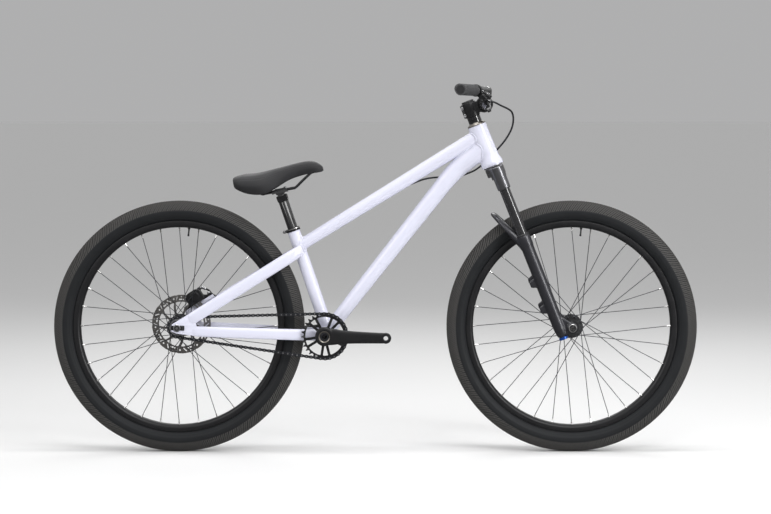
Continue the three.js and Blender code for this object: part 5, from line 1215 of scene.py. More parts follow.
SPOKES_A_SIDE = 16
SPOKE_CIRCLE = 26.0


def round_wheel(radius, angle, along):
    return Vector((radius * math.sin(angle), along, radius * math.cos(angle)))


def spoke_pair(face, side, phase):
    """Two crossing spokes of one side of a wheel, and their heads."""
    step = TURN / SPOKES_A_SIDE
    shapes = []
    for k, lead, out in ((0, 3, 1.3), (1, -3, -1.9)):
        start = round_wheel(SPOKE_CIRCLE, (k + phase) * step, side * (face + out))
        end = round_wheel(263.8, (k + lead + phase) * step, side * 3)
        shapes.append(rod([start, start.lerp(end, 0.1), start.lerp(end, 0.9), end], 0.95, 8, SIDE))
        back = round_wheel(SPOKE_CIRCLE, (k + phase) * step, side * (face - out * 1.6))
        hint = FORWARD if abs(math.sin((k + phase) * step)) < 0.7 else UP
        shapes.append(rod([start, start.lerp(back, 0.5), back], 1.0, 8, hint))
        shapes.append(moved(small_ball(1.9), *back))
    return merged(*shapes)


def nipple_pair(side, phase):
    step = TURN / SPOKES_A_SIDE
    shapes = []
    for k, lead in ((0, 3), (1, -3)):
        start = round_wheel(SPOKE_CIRCLE, (k + phase) * step, side * 33)
        end = round_wheel(266.2, (k + lead + phase) * step, side * 3)
        body = lathe([(1.1, -9.5), (1.75, -9), (1.75, -3), (2.2, -1.6), (2.4, 0.4), (1.1, 0.4)], 8)
        shapes.append(placed(body, Matrix.Translation(end) @ facing_along(end - start)))
    return merged(*shapes)


def flange(low, high, right):
    """A hub flange with its spoke holes and the hole in its middle."""
    phase = 0 if right else 0.5
    angles = [TURN * (k + phase) / SPOKES_A_SIDE for k in range(SPOKES_A_SIDE)]
    holes = [circle(1.35, 8, (SPOKE_CIRCLE * math.sin(a), SPOKE_CIRCLE * math.cos(a))) for a in angles]
    return prism(circle(29.5, 96), low, high, holes + [circle(13.5, 32)])


def make_wheel(prefix, at, right_face, left_face, body):
    centre = tuple(at.translation)
    sizes = bpy.context.scene.bike_sizes
    rubber, tread = finish("sidewall", centre), finish("tread")
    piece(f"{prefix}_tyre_casing", placed(lathe(tyre_profile(), 128), at), rubber, body,
          (f"{prefix}_tyre",), sharp=60)
    pitch = TURN * TYRE_RADIUS / sizes.tread_rows
    round_axle(f"{prefix}_tread", tread_row(pitch), sizes.tread_rows, tread, body, at, sharp=20)
    rim = [(266.5, 9.5), (266.9, 11), (268.6, 13.2), (272.2, 16.4), (274, 17), (283.6, 17), (284.7, 16.6),
           (285, 15.8), (284.6, 14.6), (281, 14.4), (279.5, 14.4), (276.9, 13), (275.6, 6), (275.6, 0)]
    rim += [(radius, -along) for radius, along in reversed(rim[:-1])]
    piece(f"{prefix}_rim_shell", placed(lathe(rim, 144), at), finish("satin_black"), body, (f"{prefix}_rim",),
          sharp=50)
    for side, name, face, phase in ((-1, "right", right_face, 0), (1, "left", left_face, 0.5)):
        round_axle(f"{prefix}_spokes_{name}_laced", spoke_pair(face, side, phase), 8, finish("dark_steel"),
                   body, at, replaces=(f"{prefix}_spokes_{name}",), sharp=60)
        round_axle(f"{prefix}_nipples_{name}", nipple_pair(side, phase), 8, finish("silver"), body, at)
    valve_at = at @ Matrix.Rotation(TURN / 64, 4, "Y")
    stem = upright(lathe([(0, 243), (2.2, 243), (2.6, 244), (2.6, 249), (2.2, 250), (2.2, 262), (3.6, 263),
                          (3.6, 266.4), (0, 266.4)], 24))
    piece(f"{prefix}_valve", placed(stem, valve_at), finish("plastic"), body)


def make_wheels():
    satin = finish("satin_black")
    make_wheel("front", AT_FRONT, 35.8, 25.8, "front_wheel")
    make_wheel("rear", AT_REAR, 32.8, 34.8, "rear_wheel")
    barrel = lathe([(7.8, -50), (11.4, -50), (12, -49.4), (12, -37), (16, -36.6), (20, -35.6), (20, -32.4),
                    (16.5, -30), (15, -25), (14.6, -5), (15, 15), (16.5, 20.4), (20, 22.4), (20, 25.6),
                    (22, 25.8), (22, 35.6), (21.4, 36), (12, 36), (12, 49.4), (11.4, 50), (7.8, 50)], 56)
    front = merged(barrel, flange(-35.8, -32.2, True), flange(22.2, 25.8, False))
    piece("front_hub_turned", placed(front, AT_FRONT), satin, "front_wheel", ("front_hub",), sharp=30)
    barrel = lathe([(6.2, -67.2), (11, -67.2), (11.6, -66.4), (16, -64), (16.2, -62), (16.2, -42),
                    (21.4, -42), (22, -41.4), (22, -33), (17, -29.4), (15, -24), (14.6, 0), (15, 24),
                    (17, 30.6), (22, 34.8), (22, 50.4), (21.4, 50.8), (12, 50.8), (12, 66.6), (11.4, 67.2),
                    (6.2, 67.2)], 56)
    rear = merged(barrel, flange(-32.8, -29.2, True), flange(31.2, 34.8, False))
    piece("rear_hub_turned", placed(rear, AT_REAR), satin, "rear_wheel", ("rear_hub",), sharp=30)
    head = [(0, 77.3), (6.4, 77.3), (6.7, 80.3), (9.3, 80.3), (10, 79.6), (10, 75.9), (9.4, 75.3),
            (5.9, 75.3)]
    axle = lathe([(radius, -along) for radius, along in head] + head[::-1], 48)
    piece("rear_axle_turned", placed(axle, AT_REAR), finish("steel"), "frame", ("rear_axle",))
    socket = both(prism(circle(6.2, 40), 77.4, 79.4, [circle(4.2, 6)]))
    piece("rear_axle_sockets", placed(socket, AT_REAR), finish("plastic"), "frame", bevel=0.3)


# Rear brake
def rotor_outline():
    points = []
    for k in range(216):
        angle = TURN * k / 216
        dip = 1.0 if k % 24 in (11, 12, 13) else 0.0
        points.append(polar(80 - dip, angle))
    return points


def rotor_holes():
    step = TURN / 9
    sweep = math.radians(-13)
    holes = [circle(12.3, 32)]
    for k in range(9):
        start = k * step
        inner_margin, outer_margin = 2.75 / 27, 2.75 / 61
        low, high = start + sweep + outer_margin, start + sweep + step - outer_margin
        window = [polar(27, start + inner_margin)]
        window += [polar(mix(27, 61, t), mix(start + inner_margin, low, t)) for t in (0.25, 0.5, 0.75)]
        window += [polar(61 + (0.0 if 0 < i < 8 else -1.0), mix(low, high, i / 8)) for i in range(9)]
        window += [polar(mix(61, 27, t), mix(high, start + step - inner_margin, t))
                   for t in (0.25, 0.5, 0.75)]
        window += [polar(27, start + step - inner_margin), polar(26, start + step / 2)]
        holes.append(window)
        here = start + sweep
        holes.append(circle(2.3, 12, polar(71, here)))
        slot = [(64.5, 0.15), (67.2, 0.13), (75.6, 0.235), (74.6, 0.275)]
        holes.append([polar(r, here + a) for r, a in slot])
        long_slot = [polar(65.4, here + 0.3 + 0.2 * i / 6) for i in range(7)]
        long_slot += [polar(69, here + 0.5 - 0.2 * i / 6) for i in range(7)]
        holes.append(long_slot)
        holes.append(circle(1.7, 10, polar(74.6, here + 0.4)))
        thin_slot = [(64.6, -0.07), (66.6, -0.1), (75, -0.16), (75.6, -0.13)]
        holes.append([polar(r, here + a) for r, a in thin_slot])
    return holes


def make_brake():
    centre = tuple(REAR)
    rotor, satin, steel = finish("rotor_steel", centre), finish("satin_black"), finish("steel")
    piece("brake_rotor_cut", placed(prism(rotor_outline(), 51.1, 52.9, rotor_holes()), AT_REAR), rotor,
          "rear_wheel", ("brake_rotor",), bevel=0.25, segments=1)
    carrier = lathe([(12.4, 50.9), (21, 50.9), (21, 54), (20, 54.6), (12.4, 54.6)], 48)
    piece("rotor_lock_ring", placed(carrier, AT_REAR), satin, "rear_wheel")
    screw = moved(socket_screw(3.2, 2.2, 1.6), 0, 54.5, 16.6)
    round_axle("rotor_screws", screw, 6, steel, "rear_wheel", AT_REAR)

    hull = prism(eased([(46.3, 26), (92.3, 26), (92.3, 52), (83.3, 61), (55.3, 61), (46.3, 52)], 5, 4), 39,
                 65)
    cylinders = moved(disc(13.5, 37.9, 66, 2.0, 40), 71, 0, 44)
    ears = prism(eased([(24.7, 24.3), (113.9, 24.3), (113.9, 31.5), (98, 31.5), (90, 38), (48, 38),
                        (40, 31.5), (24.7, 31.5)], 3.5, 4), 60.3, 72)
    inlet = moved(disc(5.4, 54, 66, 1.0, 24), 90, 0, 55)
    rotor_slot = lathe([(0, 46.99), (81.6, 46.99), (81.6, 57.01), (0, 57.01)], 96)
    cast("caliper_cast", placed(merged(hull, cylinders, ears, inlet), STAY), satin, "frame",
         ("brake_caliper",), grain=1.0, relax=4, cuts=placed(rotor_slot, STAY))
    screws = [((32.2, 66.2, 31.3), UP, 1.0), ((106.4, 66.2, 31.3), UP, 1.0), ((71, 65.6, 44), SIDE, 1.5)]
    on_points("caliper_screws", socket_screw(4.4, 4.2, 2.3, 2), places_on(STAY, screws), steel, "frame")
    end = Vector(HOSE_RUN[-1])
    way = end - Vector(HOSE_RUN[-2])
    banjo = lathe([(0, -6), (3.3, -6), (3.9, -5), (3.9, 3), (5, 4), (5, 7.4), (0, 7.4)], 24)
    piece("hose_caliper_fitting", placed(banjo, Matrix.Translation(end) @ facing_along(way)), steel, "frame")
    refinish(finish("rotor_steel"), "brake_pad_inner", "brake_pad_outer")


# Cranks, sprockets and chain
CHAIN_PITCH = 12.7
CHAIN_LINE = -49.0
RING_TEETH = 30
COG_TEETH = 13


def pitch_radius(teeth):
    return CHAIN_PITCH / 2 / math.sin(math.pi / teeth)


RING_RADIUS, COG_RADIUS = pitch_radius(RING_TEETH), pitch_radius(COG_TEETH)
RUN_TILT = math.asin((RING_RADIUS - COG_RADIUS) / CHAINSTAY)
RUN_LINKS = math.sqrt(CHAINSTAY ** 2 - (RING_RADIUS - COG_RADIUS) ** 2) / CHAIN_PITCH
RING_WRAP = (math.pi + 2 * RUN_TILT) / TURN * RING_TEETH
COG_WRAP = (math.pi - 2 * RUN_TILT) / TURN * COG_TEETH
LOOP = RING_WRAP + COG_WRAP + 2 * RUN_LINKS
LINKS = 2 * round(LOOP / 2)
LINK_STEP = LOOP / LINKS
UPPER = math.atan2(-BRACKET_DROP, BRACKET_AHEAD) + math.pi / 2 + RUN_TILT
LOWER = UPPER - RING_WRAP / RING_TEETH * TURN


def chain_place(links):
    """The place of a pin so many links along the chain, from the rear axle."""
    def on_ring(angle):
        x, z = polar(RING_RADIUS, angle)
        return Vector((BRACKET_AHEAD + x, CHAIN_LINE, z - BRACKET_DROP))

    def on_cog(angle):
        x, z = polar(COG_RADIUS, angle)
        return Vector((x, CHAIN_LINE, z))

    if links <= RING_WRAP:
        return on_ring(UPPER - links / RING_TEETH * TURN)
    if links <= RING_WRAP + RUN_LINKS:
        return on_ring(LOWER).lerp(on_cog(LOWER), (links - RING_WRAP) / RUN_LINKS)
    if links <= RING_WRAP + RUN_LINKS + COG_WRAP:
        return on_cog(LOWER - (links - RING_WRAP - RUN_LINKS) / COG_TEETH * TURN)
    return on_cog(UPPER).lerp(on_ring(UPPER), (links - RING_WRAP - RUN_LINKS - COG_WRAP) / RUN_LINKS)


def link_plate(low, high, half):
    outline = []
    for k in range(9):
        angle = math.pi / 2 + math.pi * k / 8
        outline.append(polar(half, angle))
    outline.append((CHAIN_PITCH / 2, -half * 0.68))
    for k in range(9):
        angle = -math.pi / 2 + math.pi * k / 8
        outline.append((CHAIN_PITCH + half * math.cos(angle), half * math.sin(angle)))
    outline.append((CHAIN_PITCH / 2, half * 0.68))
    return prism(outline, low, high)


def tooth_outline(teeth, pin_angle):
    radius, step = pitch_radius(teeth), TURN / teeth
    points = []
    for k in range(teeth):
        for share, height in ((0.1, -4.1), (0.2, -3.4), (0.3, -1.6), (0.37, 1.4), (0.45, 3.1),
                              (0.55, 3.1), (0.63, 1.4), (0.7, -1.6), (0.8, -3.4), (0.9, -4.1)):
            angle = pin_angle + (k + share) * step
            points.append(polar(radius + height, angle))
    return points


def ring_windows():
    step, spread = TURN / 5, math.radians(11.5)

    def window(low, high):
        outer, inner = 3.5 / 52, 3.5 / 25
        a, b = low + outer, high - outer
        points = [polar(26, low + inner), polar(38, low + 3.5 / 38), polar(50.5, a)]
        points += [polar(52, mix(a, b, 0.06 + 0.88 * i / 6)) for i in range(7)]
        points += [polar(50.5, b), polar(38, high - 3.5 / 38), polar(26, high - inner)]
        if high - low > 0.6:
            points.append(polar(25, (low + high) / 2))
        return points

    windows = []
    for k in range(5):
        middle = math.radians(45) + spread + k * step
        windows += [window(middle - spread, middle + spread), window(middle + spread, middle + step - spread)]
    return windows


def make_drive():
    satin, steel, dark = finish("satin_black"), finish("steel"), finish("dark_steel")
    refinish(satin, "bottom_bracket")
    cup = both(lathe([(12.4, 36.8), (21.6, 36.8), (22.5, 37.6), (22.5, 43), (21.4, 45.8), (12.4, 45.8)], 48))
    piece("bracket_cups", placed(cup, AT_BRACKET), satin, "frame", ("bottom_bracket",))
    spindle = lathe([(7, -67.6), (11.4, -67.6), (12, -67), (12, 67), (11.4, 67.6), (7, 67.6)], 48)
    piece("crank_spindle_turned", placed(spindle, AT_BRACKET), dark, "crank", ("crank_spindle",))

    boss = lathe([(12.4, -51), (24, -51), (25, -52), (25.4, -60), (25, -68.4), (23.6, -70), (17.6, -71),
                  (16.8, -70), (12.4, -70)], 64)
    back = lathe([(12.4, -46.4), (17.7, -46.4), (17.7, -52), (12.4, -52)], 48)
    reach = 165
    stations = [(4, -61.2, 8.0, 23.5), (24, -62.6, 7.8, 21.8), (45, -65, 7.4, 18.8), (75, -68.4, 6.9, 16.8),
                (110, -72.4, 6.6, 15.4), (150, -76, 6.5, 14.4), (reach, -76.5, 6.5, 14)]
    path, wide, high = faired([(Vector((x, y, 0)), w, h) for x, y, w, h in stations], 6)
    arm = Tube(path, wide, high, UP, 32, 0.62).shape()
    tip = moved(disc(14.5, -83, -70, 1.4, 48), reach)
    holes = merged(moved(disc(7.1, -100, 0, 0.1, 32), reach), disc(12.4, -90, -40, 0.1, 40))
    whole = merged(boss, back, arm, tip)
    thread = [(6.2, 69.6), (7.2, 69.6), (7.2, 83.1), (8.8, 83.1), (8.8, 83.5), (6.2, 83.5)]
    insert = moved(lathe(thread, 40), reach)
    right, left = (whole, holes, mirrored(insert)), (mirrored(whole), mirrored(holes), insert)
    for name, (arm_shape, drill, threads), degrees in (("right", right, 1), ("left", left, -179)):
        at = AT_BRACKET @ Matrix.Rotation(math.radians(degrees), 4, "Y")
        cast(f"crank_arm_{name}_forged", placed(arm_shape, at), satin, "crank", (f"crank_arm_{name}",),
             grain=1.0, relax=5, cuts=placed(drill, at))
        piece(f"pedal_thread_{name}", placed(threads, at), dark, "crank")
    bronze = mirrored(lathe([(12.1, 66), (13.4, 66), (13.4, 70.2), (15.4, 71.4), (15.1, 72.1), (12.8, 71.2),
                             (12.1, 70)], 56))
    piece("spindle_ring_right", placed(bronze, AT_BRACKET), finish("champagne"), "crank")
    cap = lathe([(0, 65), (11.8, 65), (11.8, 70.4), (11, 71), (6.2, 71), (5.2, 69), (0, 69)], 48)
    piece("spindle_cap_left", placed(cap, AT_BRACKET), satin, "crank")
    socket = mirrored(lathe([(5.4, 62), (11.9, 62), (11.9, 68.4), (11.2, 69), (7.4, 69), (6.6, 67)], 12))
    piece("spindle_socket_right", placed(socket, AT_BRACKET), dark, "crank")

    holes = ring_windows() + [circle(18, 48)]
    chainring = prism(tooth_outline(RING_TEETH, UPPER), -50.3, -47.7, holes)
    piece("chainring_cut", placed(chainring, AT_BRACKET), satin, "crank", ("chainring",), bevel=0.45)
    screw = placed(socket_screw(2.6, 1.6, 1.3), Matrix.Rotation(math.pi, 4, "X"))
    round_axle("chainring_screws", moved(screw, 0, -50.2, 21.4), 3, steel, "crank", AT_BRACKET, start=0.4)

    offset = math.ceil((RING_WRAP + RUN_LINKS) / LINK_STEP) * LINK_STEP - RING_WRAP - RUN_LINKS
    teeth = tooth_outline(COG_TEETH, LOWER - offset / COG_TEETH * TURN)
    cog = prism(teeth, -50.3, -47.7, [circle(16.8, 48)])
    piece("rear_cog_cut", placed(cog, AT_REAR), steel, "cog", ("rear_cog",), bevel=0.4)
    lock = lathe([(16.6, -50.3), (18.4, -50.3), (18.4, -52.6), (17.8, -53.2), (16.6, -53.2)], 40)
    piece("cog_lock_ring", placed(lock, AT_REAR), satin, "cog")

    outer = merged(link_plate(-52.9, -51.9, 4.1), link_plate(-46.1, -45.1, 4.1))
    inner = merged(link_plate(-51.8, -50.8, 4.0), link_plate(-47.2, -46.2, 4.0))
    roller = lathe([(0, -53.3), (1.8, -53.3), (1.8, -51.4), (3.7, -51), (3.7, -47), (1.8, -46.6),
                    (1.8, -44.7), (0, -44.7)], 12)
    for name, shape, finish_name, first, every in (
        ("chain_outer_plates", outer, "dark_steel", 0, 2), ("chain_inner_plates", inner, "dark_steel", 1, 2),
        ("chain_rollers", roller, "steel", 0, 1),
    ):
        places = []
        for k in range(first, LINKS, every):
            here, there = chain_place(k * LINK_STEP), chain_place((k + 1) % LINKS * LINK_STEP)
            turn = Matrix.Rotation(-math.atan2(there.z - here.z, there.x - here.x), 4, "Y")
            places.append((REAR + Vector((here.x, 0, here.z)), turn, 1.0))
        on_points(name, shape, places, finish(finish_name), "frame",
                  ("chain",) if name == "chain_outer_plates" else ())

    block = merged(box(10.7, 17.5, -77, -67.6, -6.1, 6.1), box(10.7, 19.7, -77.2, -75.3, -6.4, 6.7))
    piece("chain_tensioner_block", placed(block, AT_REAR), satin, "frame", ("chain_tensioner",), bevel=0.6)
    outward = placed(socket_screw(2.2, 1.2, 1.1), Matrix.Rotation(math.pi, 4, "X"))
    grub = merged(*(moved(outward, 15, -77.1, z) for z in (-3, 3)))
    piece("chain_tensioner_screws", placed(grub, AT_REAR), dark, "frame")


# Saddle and seatpost
PAD_BACK, PAD_LENGTH, PAD_WIDTH, PAD_DEPTH = -118.0, 248.0, 140.0, 62.0
PAD_FLOOR = 40.4
PAD_STATIONS = [(0, 0.32, 0.92, 0.56), (0.02, 0.39, 0.97, 0.45), (0.05, 0.435, 0.99, 0.36),
                (0.09, 0.465, 1.0, 0.25), (0.13, 0.48, 1.01, 0.16), (0.19, 0.485, 0.985, 0.07),
                (0.26, 0.48, 0.95, 0), (0.31, 0.455, 0.95, 0.0), (0.36, 0.42, 0.96, 0.02),
                (0.41, 0.365, 0.97, 0.08), (0.46, 0.31, 0.985, 0.16), (0.515, 0.268, 0.998, 0.25),
                (0.57, 0.235, 1.01, 0.34), (0.63, 0.21, 1.025, 0.41), (0.7, 0.19, 1.04, 0.45),
                (0.77, 0.175, 1.055, 0.48), (0.84, 0.16, 1.05, 0.485), (0.89, 0.148, 1.0, 0.47),
                (0.93, 0.135, 0.915, 0.46), (0.96, 0.11, 0.81, 0.465), (0.985, 0.075, 0.68, 0.48)]
PAD_SECTION = [(0, 0), (0.18, 0.004), (0.35, 0.015), (0.52, 0.045), (0.66, 0.09), (0.775, 0.16),
               (0.85, 0.235), (0.872, 0.262), (0.895, 0.275), (0.935, 0.34), (0.975, 0.47), (1, 0.6),
               (0.99, 0.75), (0.965, 0.88), (0.93, 0.97), (0.88, 1), (0.82, 0.96), (0.76, 0.9)]


def pad_ring(along, half, top, skirt):
    """The pad's outline at a place along it, with a groove at the seam."""
    x = PAD_BACK + along * PAD_LENGTH
    high, low = top * PAD_DEPTH, skirt * PAD_DEPTH
    side = []
    for k, (across, down) in enumerate(PAD_SECTION):
        seam = 0.7 if k in (7, 8) else 0.0
        side.append(Vector((x, -across * half * PAD_WIDTH * (1 - seam * 0.012), mix(high, low, down) - seam)))
    side.append(Vector((x, -half * PAD_WIDTH * 0.62, max(PAD_FLOOR, mix(high, low, 0.7)))))
    middle = Vector((x, 0, max(PAD_FLOOR, mix(high, low, 0.62))))
    left = [flipped(point) for point in reversed(side[1:])]
    return [*side, middle, *left]


def pad_shape():
    rings = [pad_ring(*station) for station in PAD_STATIONS]
    count = len(rings[0])
    points = [point for line in rings for point in line]
    faces = []
    for k in range(len(rings) - 1):
        for i in range(count):
            a, b = k * count + i, k * count + (i + 1) % count
            faces.append((a, b, b + count, a + count))
    for start in (0, (len(rings) - 1) * count):
        middle = sum((points[start + i] for i in range(count)), Vector()) / count
        points.append(middle)
        for i in range(count):
            faces.append((start + i, start + (i + 1) % count, len(points) - 1))
    return points, faces


def make_saddle():
    gloss, satin, steel = finish("gloss_black"), finish("satin_black"), finish("steel")
    skin, plastic = finish("saddle_skin"), finish("plastic")
    pad = raw_object("saddle_pad_sewn", placed(pad_shape(), SADDLE))
    divide = pad.modifiers.new("Subsurf", "SUBSURF")
    divide.levels = divide.render_levels = 2
    settled(pad)
    finished(pad, skin, "saddle", ("saddle_pad",), 70)
    seam = []
    for along, half, top, skirt in PAD_STATIONS[2:-2]:
        height = mix(top * PAD_DEPTH, skirt * PAD_DEPTH, 0.29)
        seam.append(Vector((PAD_BACK + along * PAD_LENGTH, -0.905 * half * PAD_WIDTH - 0.4, height)))
    stitch = (0.42, 1.1, 0.42)
    right = spaced(smooth_path(seam, 6), 3.6)
    stitches = [(point, way, stitch) for point, way in right]
    stitches += [(flipped(point), flipped(way), stitch) for point, way in right]
    on_points("saddle_stitches", small_ball(), places_on(SADDLE, stitches), plastic, "saddle", sharp=80)

    base = [(-104, 21), (-83, 36), (-47, 38), (0, 22), (47, 15), (94, 11), (116, 7)]
    edge = [(x, -y) for x, y in base] + list(reversed(base))
    piece("saddle_base_moulded", placed(prism(eased(edge, 8, 4), 36, 40, axis="Z"), SADDLE), plastic,
          "saddle", ("saddle_base",), bevel=0.8)
    ribs = merged(*(box(x - 1, x + 1, -w, w, 33.4, 36.2) for x,
                    w in ((-78, 26), (-62, 30), (62, 9), (78, 8))))
    piece("saddle_base_ribs", placed(ribs, SADDLE), plastic, "saddle", bevel=0.3)
    rail = [(-92, 24.2, 32.2), (-69, 23.1, 16.1), (-46, 22, 0), (-40, 22, 0), (0, 22, 0), (39, 22, 0),
            (42, 22, 0), (67, 17.6, 16.1), (92, 11, 31.2), (99.3, 0, 32.2)]
    half = smooth_path(rail, 8)
    path = half + [flipped(point) for point in reversed(half[:-1])]
    piece("saddle_rails_bent", placed(rod(path, 3.4, 16), SADDLE), satin, "saddle", ("saddle_rails",),
          sharp=60)

    post = upright(lathe([(11.2, -155), (13.1, -155), (13.6, -154.4), (13.6, 82), (12.6, 84), (0, 84)], 56))
    head = prism(eased([(-13.6, 78), (13.6, 78), (15, 90), (14.6, 96.8), (-14.6, 96.8), (-15, 90)], 3, 3),
                 -15, 15)
    cradle = moved(disc(14.6, -40, 40, 0.1, 48), 0, 0, CLAMP_HEIGHT)
    cast("seatpost_head_forged", placed(head, SEAT), gloss, "seat_post", grain=0.8, relax=3,
         cuts=placed(cradle, SEAT))
    piece("seatpost_tube", placed(post, SEAT), gloss, "seat_post", ("seatpost",))
    rocker = lathe([(0, -15), (13.2, -15), (14, -14.2), (14, 14.2), (13.2, 15), (0, 15)], 56)
    lower = prism(eased([(-21, -5.4), (21, -5.4), (21, -0.3), (-21, -0.3)], 2, 3), -29, 29)
    upper = prism(eased([(-20, 0.3), (20, 0.3), (20, 3), (12, 5.5), (-12, 5.5), (-20, 3)], 1.5, 3), -29, 29)
    piece("saddle_clamp_lower", placed(merged(rocker_half(rocker), lower), SADDLE), satin,
          "seat_clamp_head", ("saddle_clamp",), bevel=0.7)
    piece("saddle_clamp_upper", placed(upper, SADDLE), satin, "seat_clamp_head", bevel=0.7)
    screws = [((-15, 0, 5.2), UP, 1.0), ((15, 0, 5.2), UP, 1.0),
              ((-20.6, 0, -5), -UP, 0.6), ((20.6, 0, -5), -UP, 0.6)]
    on_points("saddle_clamp_screws", socket_screw(3.8, 3.4, 2.0), places_on(SADDLE, screws), steel,
              "seat_clamp_head")


def rocker_half(shape):
    """The part of the rocker that stays below the clamp's top."""
    points, faces = shape
    return [Vector((p.x, p.y, min(p.z, 0))) for p in points], faces


# Stage, lamps and camera
def floor_material(colour):
    material = bpy.data.materials.new("studio_floor")
    material.use_nodes = True
    tree = material.node_tree
    shader = tree.nodes["Principled BSDF"]
    place = add(tree, "ShaderNodeTexCoord")
    noise = add(tree, "ShaderNodeTexNoise", {"Vector": place.outputs["Object"], "Scale": 3.0, "Detail": 3.0})
    ramp = add(tree, "ShaderNodeValToRGB", {"Fac": noise.outputs["Fac"]})
    ramp.color_ramp.elements[0].color = (*[value * 0.99 for value in colour], 1)
    ramp.color_ramp.elements[1].color = (*colour, 1)
    tree.links.new(ramp.outputs["Color"], shader.inputs["Base Color"])
    shader.inputs["Roughness"].default_value = 0.75
    shader.inputs["Specular IOR Level"].default_value = 0.2
    return material


def lamp(name, place, aim, size, power):
    light = bpy.data.lights.new(name, "AREA")
    light.shape, light.size, light.size_y, light.energy = "RECTANGLE", size[0], size[1], power
    holder = bpy.data.objects.new(name, light)
    bpy.context.scene.collection.objects.link(holder)
    holder.location = place
    holder.rotation_euler = (Vector(aim) - Vector(place)).to_track_quat("-Z", "Y").to_euler()


def make_stage():
    colours = bpy.context.scene.bike_colours
    sizes = bpy.context.scene.bike_sizes
    floor = raw_object("studio_floor", prism(circle(60, 96), -0.02, 0, axis="Z"), 1.0)
    floor.data.materials.append(floor_material(tuple(colours.floor)[:3]))
    floor.visible_glossy = False
    world = bpy.data.worlds.new("studio")
    bpy.context.scene.world = world
    world.use_nodes = True
    tree = world.node_tree
    plain = tree.nodes["Background"]
    plain.inputs["Color"].default_value = (1, 1, 1, 1)
    plain.inputs["Strength"].default_value = sizes.fill_light
    seen = add(tree, "ShaderNodeBackground", {"Color": (*tuple(colours.backdrop)[:3], 1), "Strength": 1.0})
    place = add(tree, "ShaderNodeTexCoord")
    height = add(tree, "ShaderNodeSeparateXYZ", {0: place.outputs["Generated"]})
    mirror = add(tree, "ShaderNodeMapRange", {
        "Value": height.outputs["Z"], "From Min": 0.0, "From Max": 0.8, "To Min": 0.1, "To Max": 0.9})
    studio = add(tree, "ShaderNodeBackground", {"Color": (1, 1, 1, 1), "Strength": mirror.outputs[0]})
    path = add(tree, "ShaderNodeLightPath")
    soft = add(tree, "ShaderNodeMixShader", {
        0: path.outputs["Is Glossy Ray"], 1: plain.outputs[0], 2: studio.outputs[0]})
    blend = add(tree, "ShaderNodeMixShader", {
        0: path.outputs["Is Camera Ray"], 1: soft.outputs[0], 2: seen.outputs[0]})
    tree.links.new(blend.outputs[0], tree.nodes["World Output"].inputs["Surface"])
    lamp("key_lamp", (1.4, -3.0, 3.2), (0.1, 0, 0.4), (2.4, 1.6), sizes.key_light)
    lamp("top_lamp", (0.0, -0.2, 3.4), (0.0, 0, 0.4), (3.2, 0.7), sizes.key_light * 0.8)
    lamp("side_lamp", (-2.6, -2.2, 2.0), (-0.2, 0, 0.5), (1.4, 2.0), sizes.key_light * 0.45)
    lamp("front_strip", (2.9, -2.0, 1.3), (0.3, 0, 0.6), (0.5, 2.2), sizes.key_light * 0.9)
    lamp("back_lamp", (0.4, 3.0, 2.8), (0, 0, 0.5), (3.0, 1.2), sizes.key_light * 0.5)

    camera = bpy.data.cameras.new("camera")
    camera.lens, camera.sensor_width = 129.5, 36.0
    camera.shift_x, camera.shift_y = -0.083, -0.2284
    camera.clip_start, camera.clip_end = 0.05, 100
    holder = bpy.data.objects.new("camera", camera)
    bpy.context.scene.collection.objects.link(holder)
    holder.location = (0.2, -7.5, 1.0)
    holder.rotation_euler = (math.radians(90), 0, 0)
    bpy.context.scene.camera = holder
    bpy.context.scene.view_settings.view_transform = "Standard"


# The add-on's settings, operators and panel
def colour(name, description, default):
    return FloatVectorProperty(name=name, description=description, subtype="COLOR", size=3, min=0, max=1,
                               default=default)


class BikeColours(bpy.types.PropertyGroup):
    paint: colour("Frame paint", "Paint of the frame tubes", (0.655, 0.66, 0.775))
    black: colour("Black parts", "Anodised and painted black parts", (0.009, 0.009, 0.01))
    fork: colour("Fork lowers", "Paint of the fork's lower legs", (0.03, 0.03, 0.036))
    crown: colour("Fork crown", "Metal of the fork crown", (0.17, 0.17, 0.18))
    knob: colour("Rebound knob", "Anodised rebound knob", (0.03, 0.11, 0.45))
    champagne: colour("Champagne metal", "Headset cover and spindle ring", (0.27, 0.25, 0.225))
    silver: colour("Silver metal", "Nipples, front axle and clamp line", (0.72, 0.71, 0.7))
    steel: colour("Steel", "Rear axle, screws, rollers and cog", (0.5, 0.5, 0.51))
    dark_steel: colour("Dark steel", "Spokes, chain plates, spindle and threads", (0.06, 0.062, 0.07))
    rotor: colour("Rotor steel", "Brake rotor", (0.33, 0.315, 0.3))
    sidewall: colour("Tyre sidewall", "Smooth rubber of the sidewalls", (0.011, 0.012, 0.0135))
    tread: colour("Tyre tread", "Rough rubber of the tread", (0.055, 0.053, 0.051))
    grip: colour("Grips", "Rubber of the grips", (0.045, 0.045, 0.047))
    plastic: colour("Plastic and hose", "Moulded plastic, seals and hose", (0.01, 0.01, 0.012))
    saddle: colour("Saddle cover", "Cover of the saddle pad", (0.013, 0.013, 0.015))
    floor: colour("Floor", "Studio floor", (0.8, 0.8, 0.8))
    backdrop: colour("Backdrop", "Background behind the bicycle", (0.43, 0.43, 0.433))


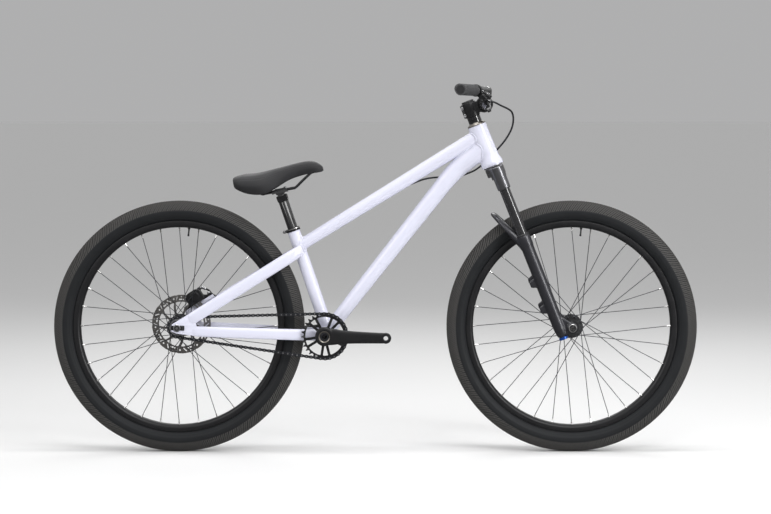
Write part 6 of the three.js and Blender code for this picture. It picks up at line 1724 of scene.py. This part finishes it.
class BikeSizes(bpy.types.PropertyGroup):
    weld_bead: FloatProperty(name="Weld bead", description="Width of a weld bead", default=0.0052, min=0.001,
                             max=0.012, subtype="DISTANCE", unit="LENGTH")
    tread_rows: IntProperty(name="Tread rows", description="Rows of tread round each tyre", default=168,
                            min=40, max=260)
    fill_light: FloatProperty(name="Fill light", description="Strength of the even light", default=0.5, min=0,
                              max=2)
    key_light: FloatProperty(name="Key light", description="Power of the main lamp", default=60.0, min=0,
                             max=2000, subtype="POWER", unit="POWER")


class MakeOperator:
    bl_options = {"REGISTER", "UNDO"}

    def execute(self, context):
        self.make()
        return {"FINISHED"}


class BIKE_OT_stage(MakeOperator, bpy.types.Operator):
    """Floor, backdrop, lamps and camera"""
    bl_idname = "bike.stage"
    bl_label = "Stage"
    make = staticmethod(make_stage)


class BIKE_OT_frame(MakeOperator, bpy.types.Operator):
    """Frame tubes with their welds, dropouts and seat clamp"""
    bl_idname = "bike.frame"
    bl_label = "Frame"
    make = staticmethod(make_frame)


class BIKE_OT_fork(MakeOperator, bpy.types.Operator):
    """Headset, crown, stanchions, lower legs and front axle"""
    bl_idname = "bike.fork"
    bl_label = "Fork"
    make = staticmethod(make_fork)


class BIKE_OT_cockpit(MakeOperator, bpy.types.Operator):
    """Stem, bar, grips, brake lever and hose"""
    bl_idname = "bike.cockpit"
    bl_label = "Bar and lever"
    make = staticmethod(make_cockpit)


class BIKE_OT_wheels(MakeOperator, bpy.types.Operator):
    """Tyres, rims, spokes and hubs"""
    bl_idname = "bike.wheels"
    bl_label = "Wheels"
    make = staticmethod(make_wheels)


class BIKE_OT_brake(MakeOperator, bpy.types.Operator):
    """Rotor and caliper"""
    bl_idname = "bike.brake"
    bl_label = "Rear brake"
    make = staticmethod(make_brake)


class BIKE_OT_drive(MakeOperator, bpy.types.Operator):
    """Cranks, chainring, chain and cog"""
    bl_idname = "bike.drive"
    bl_label = "Drive"
    make = staticmethod(make_drive)


class BIKE_OT_saddle(MakeOperator, bpy.types.Operator):
    """Saddle, its clamp and the seatpost"""
    bl_idname = "bike.saddle"
    bl_label = "Saddle and post"
    make = staticmethod(make_saddle)


OPERATORS = (BIKE_OT_stage, BIKE_OT_frame, BIKE_OT_fork, BIKE_OT_cockpit, BIKE_OT_wheels, BIKE_OT_brake,
             BIKE_OT_drive, BIKE_OT_saddle)


class BIKE_PT_panel(bpy.types.Panel):
    """The bicycle's pieces, sizes and colours"""
    bl_label = "Dirt jump bike"
    bl_space_type = "VIEW_3D"
    bl_region_type = "UI"
    bl_category = "Bike"

    def draw(self, context):
        column = self.layout.column(align=True)
        for operator in OPERATORS:
            column.operator(operator.bl_idname)
        for group in (context.scene.bike_sizes, context.scene.bike_colours):
            for key in group.__annotations__:
                self.layout.prop(group, key)


CLASSES = (BikeColours, BikeSizes, *OPERATORS, BIKE_PT_panel)


def register():
    for cls in CLASSES:
        bpy.utils.register_class(cls)
    bpy.types.Scene.bike_colours = PointerProperty(type=BikeColours)
    bpy.types.Scene.bike_sizes = PointerProperty(type=BikeSizes)


def unregister():
    del bpy.types.Scene.bike_colours
    del bpy.types.Scene.bike_sizes
    for cls in reversed(CLASSES):
        bpy.utils.unregister_class(cls)


def main():
    register()
    bpy.ops.bike.stage()
    bpy.ops.bike.frame()
    bpy.ops.bike.fork()
    bpy.ops.bike.cockpit()
    bpy.ops.bike.wheels()
    bpy.ops.bike.brake()
    bpy.ops.bike.drive()
    bpy.ops.bike.saddle()


if __name__ == "__main__":
    main()
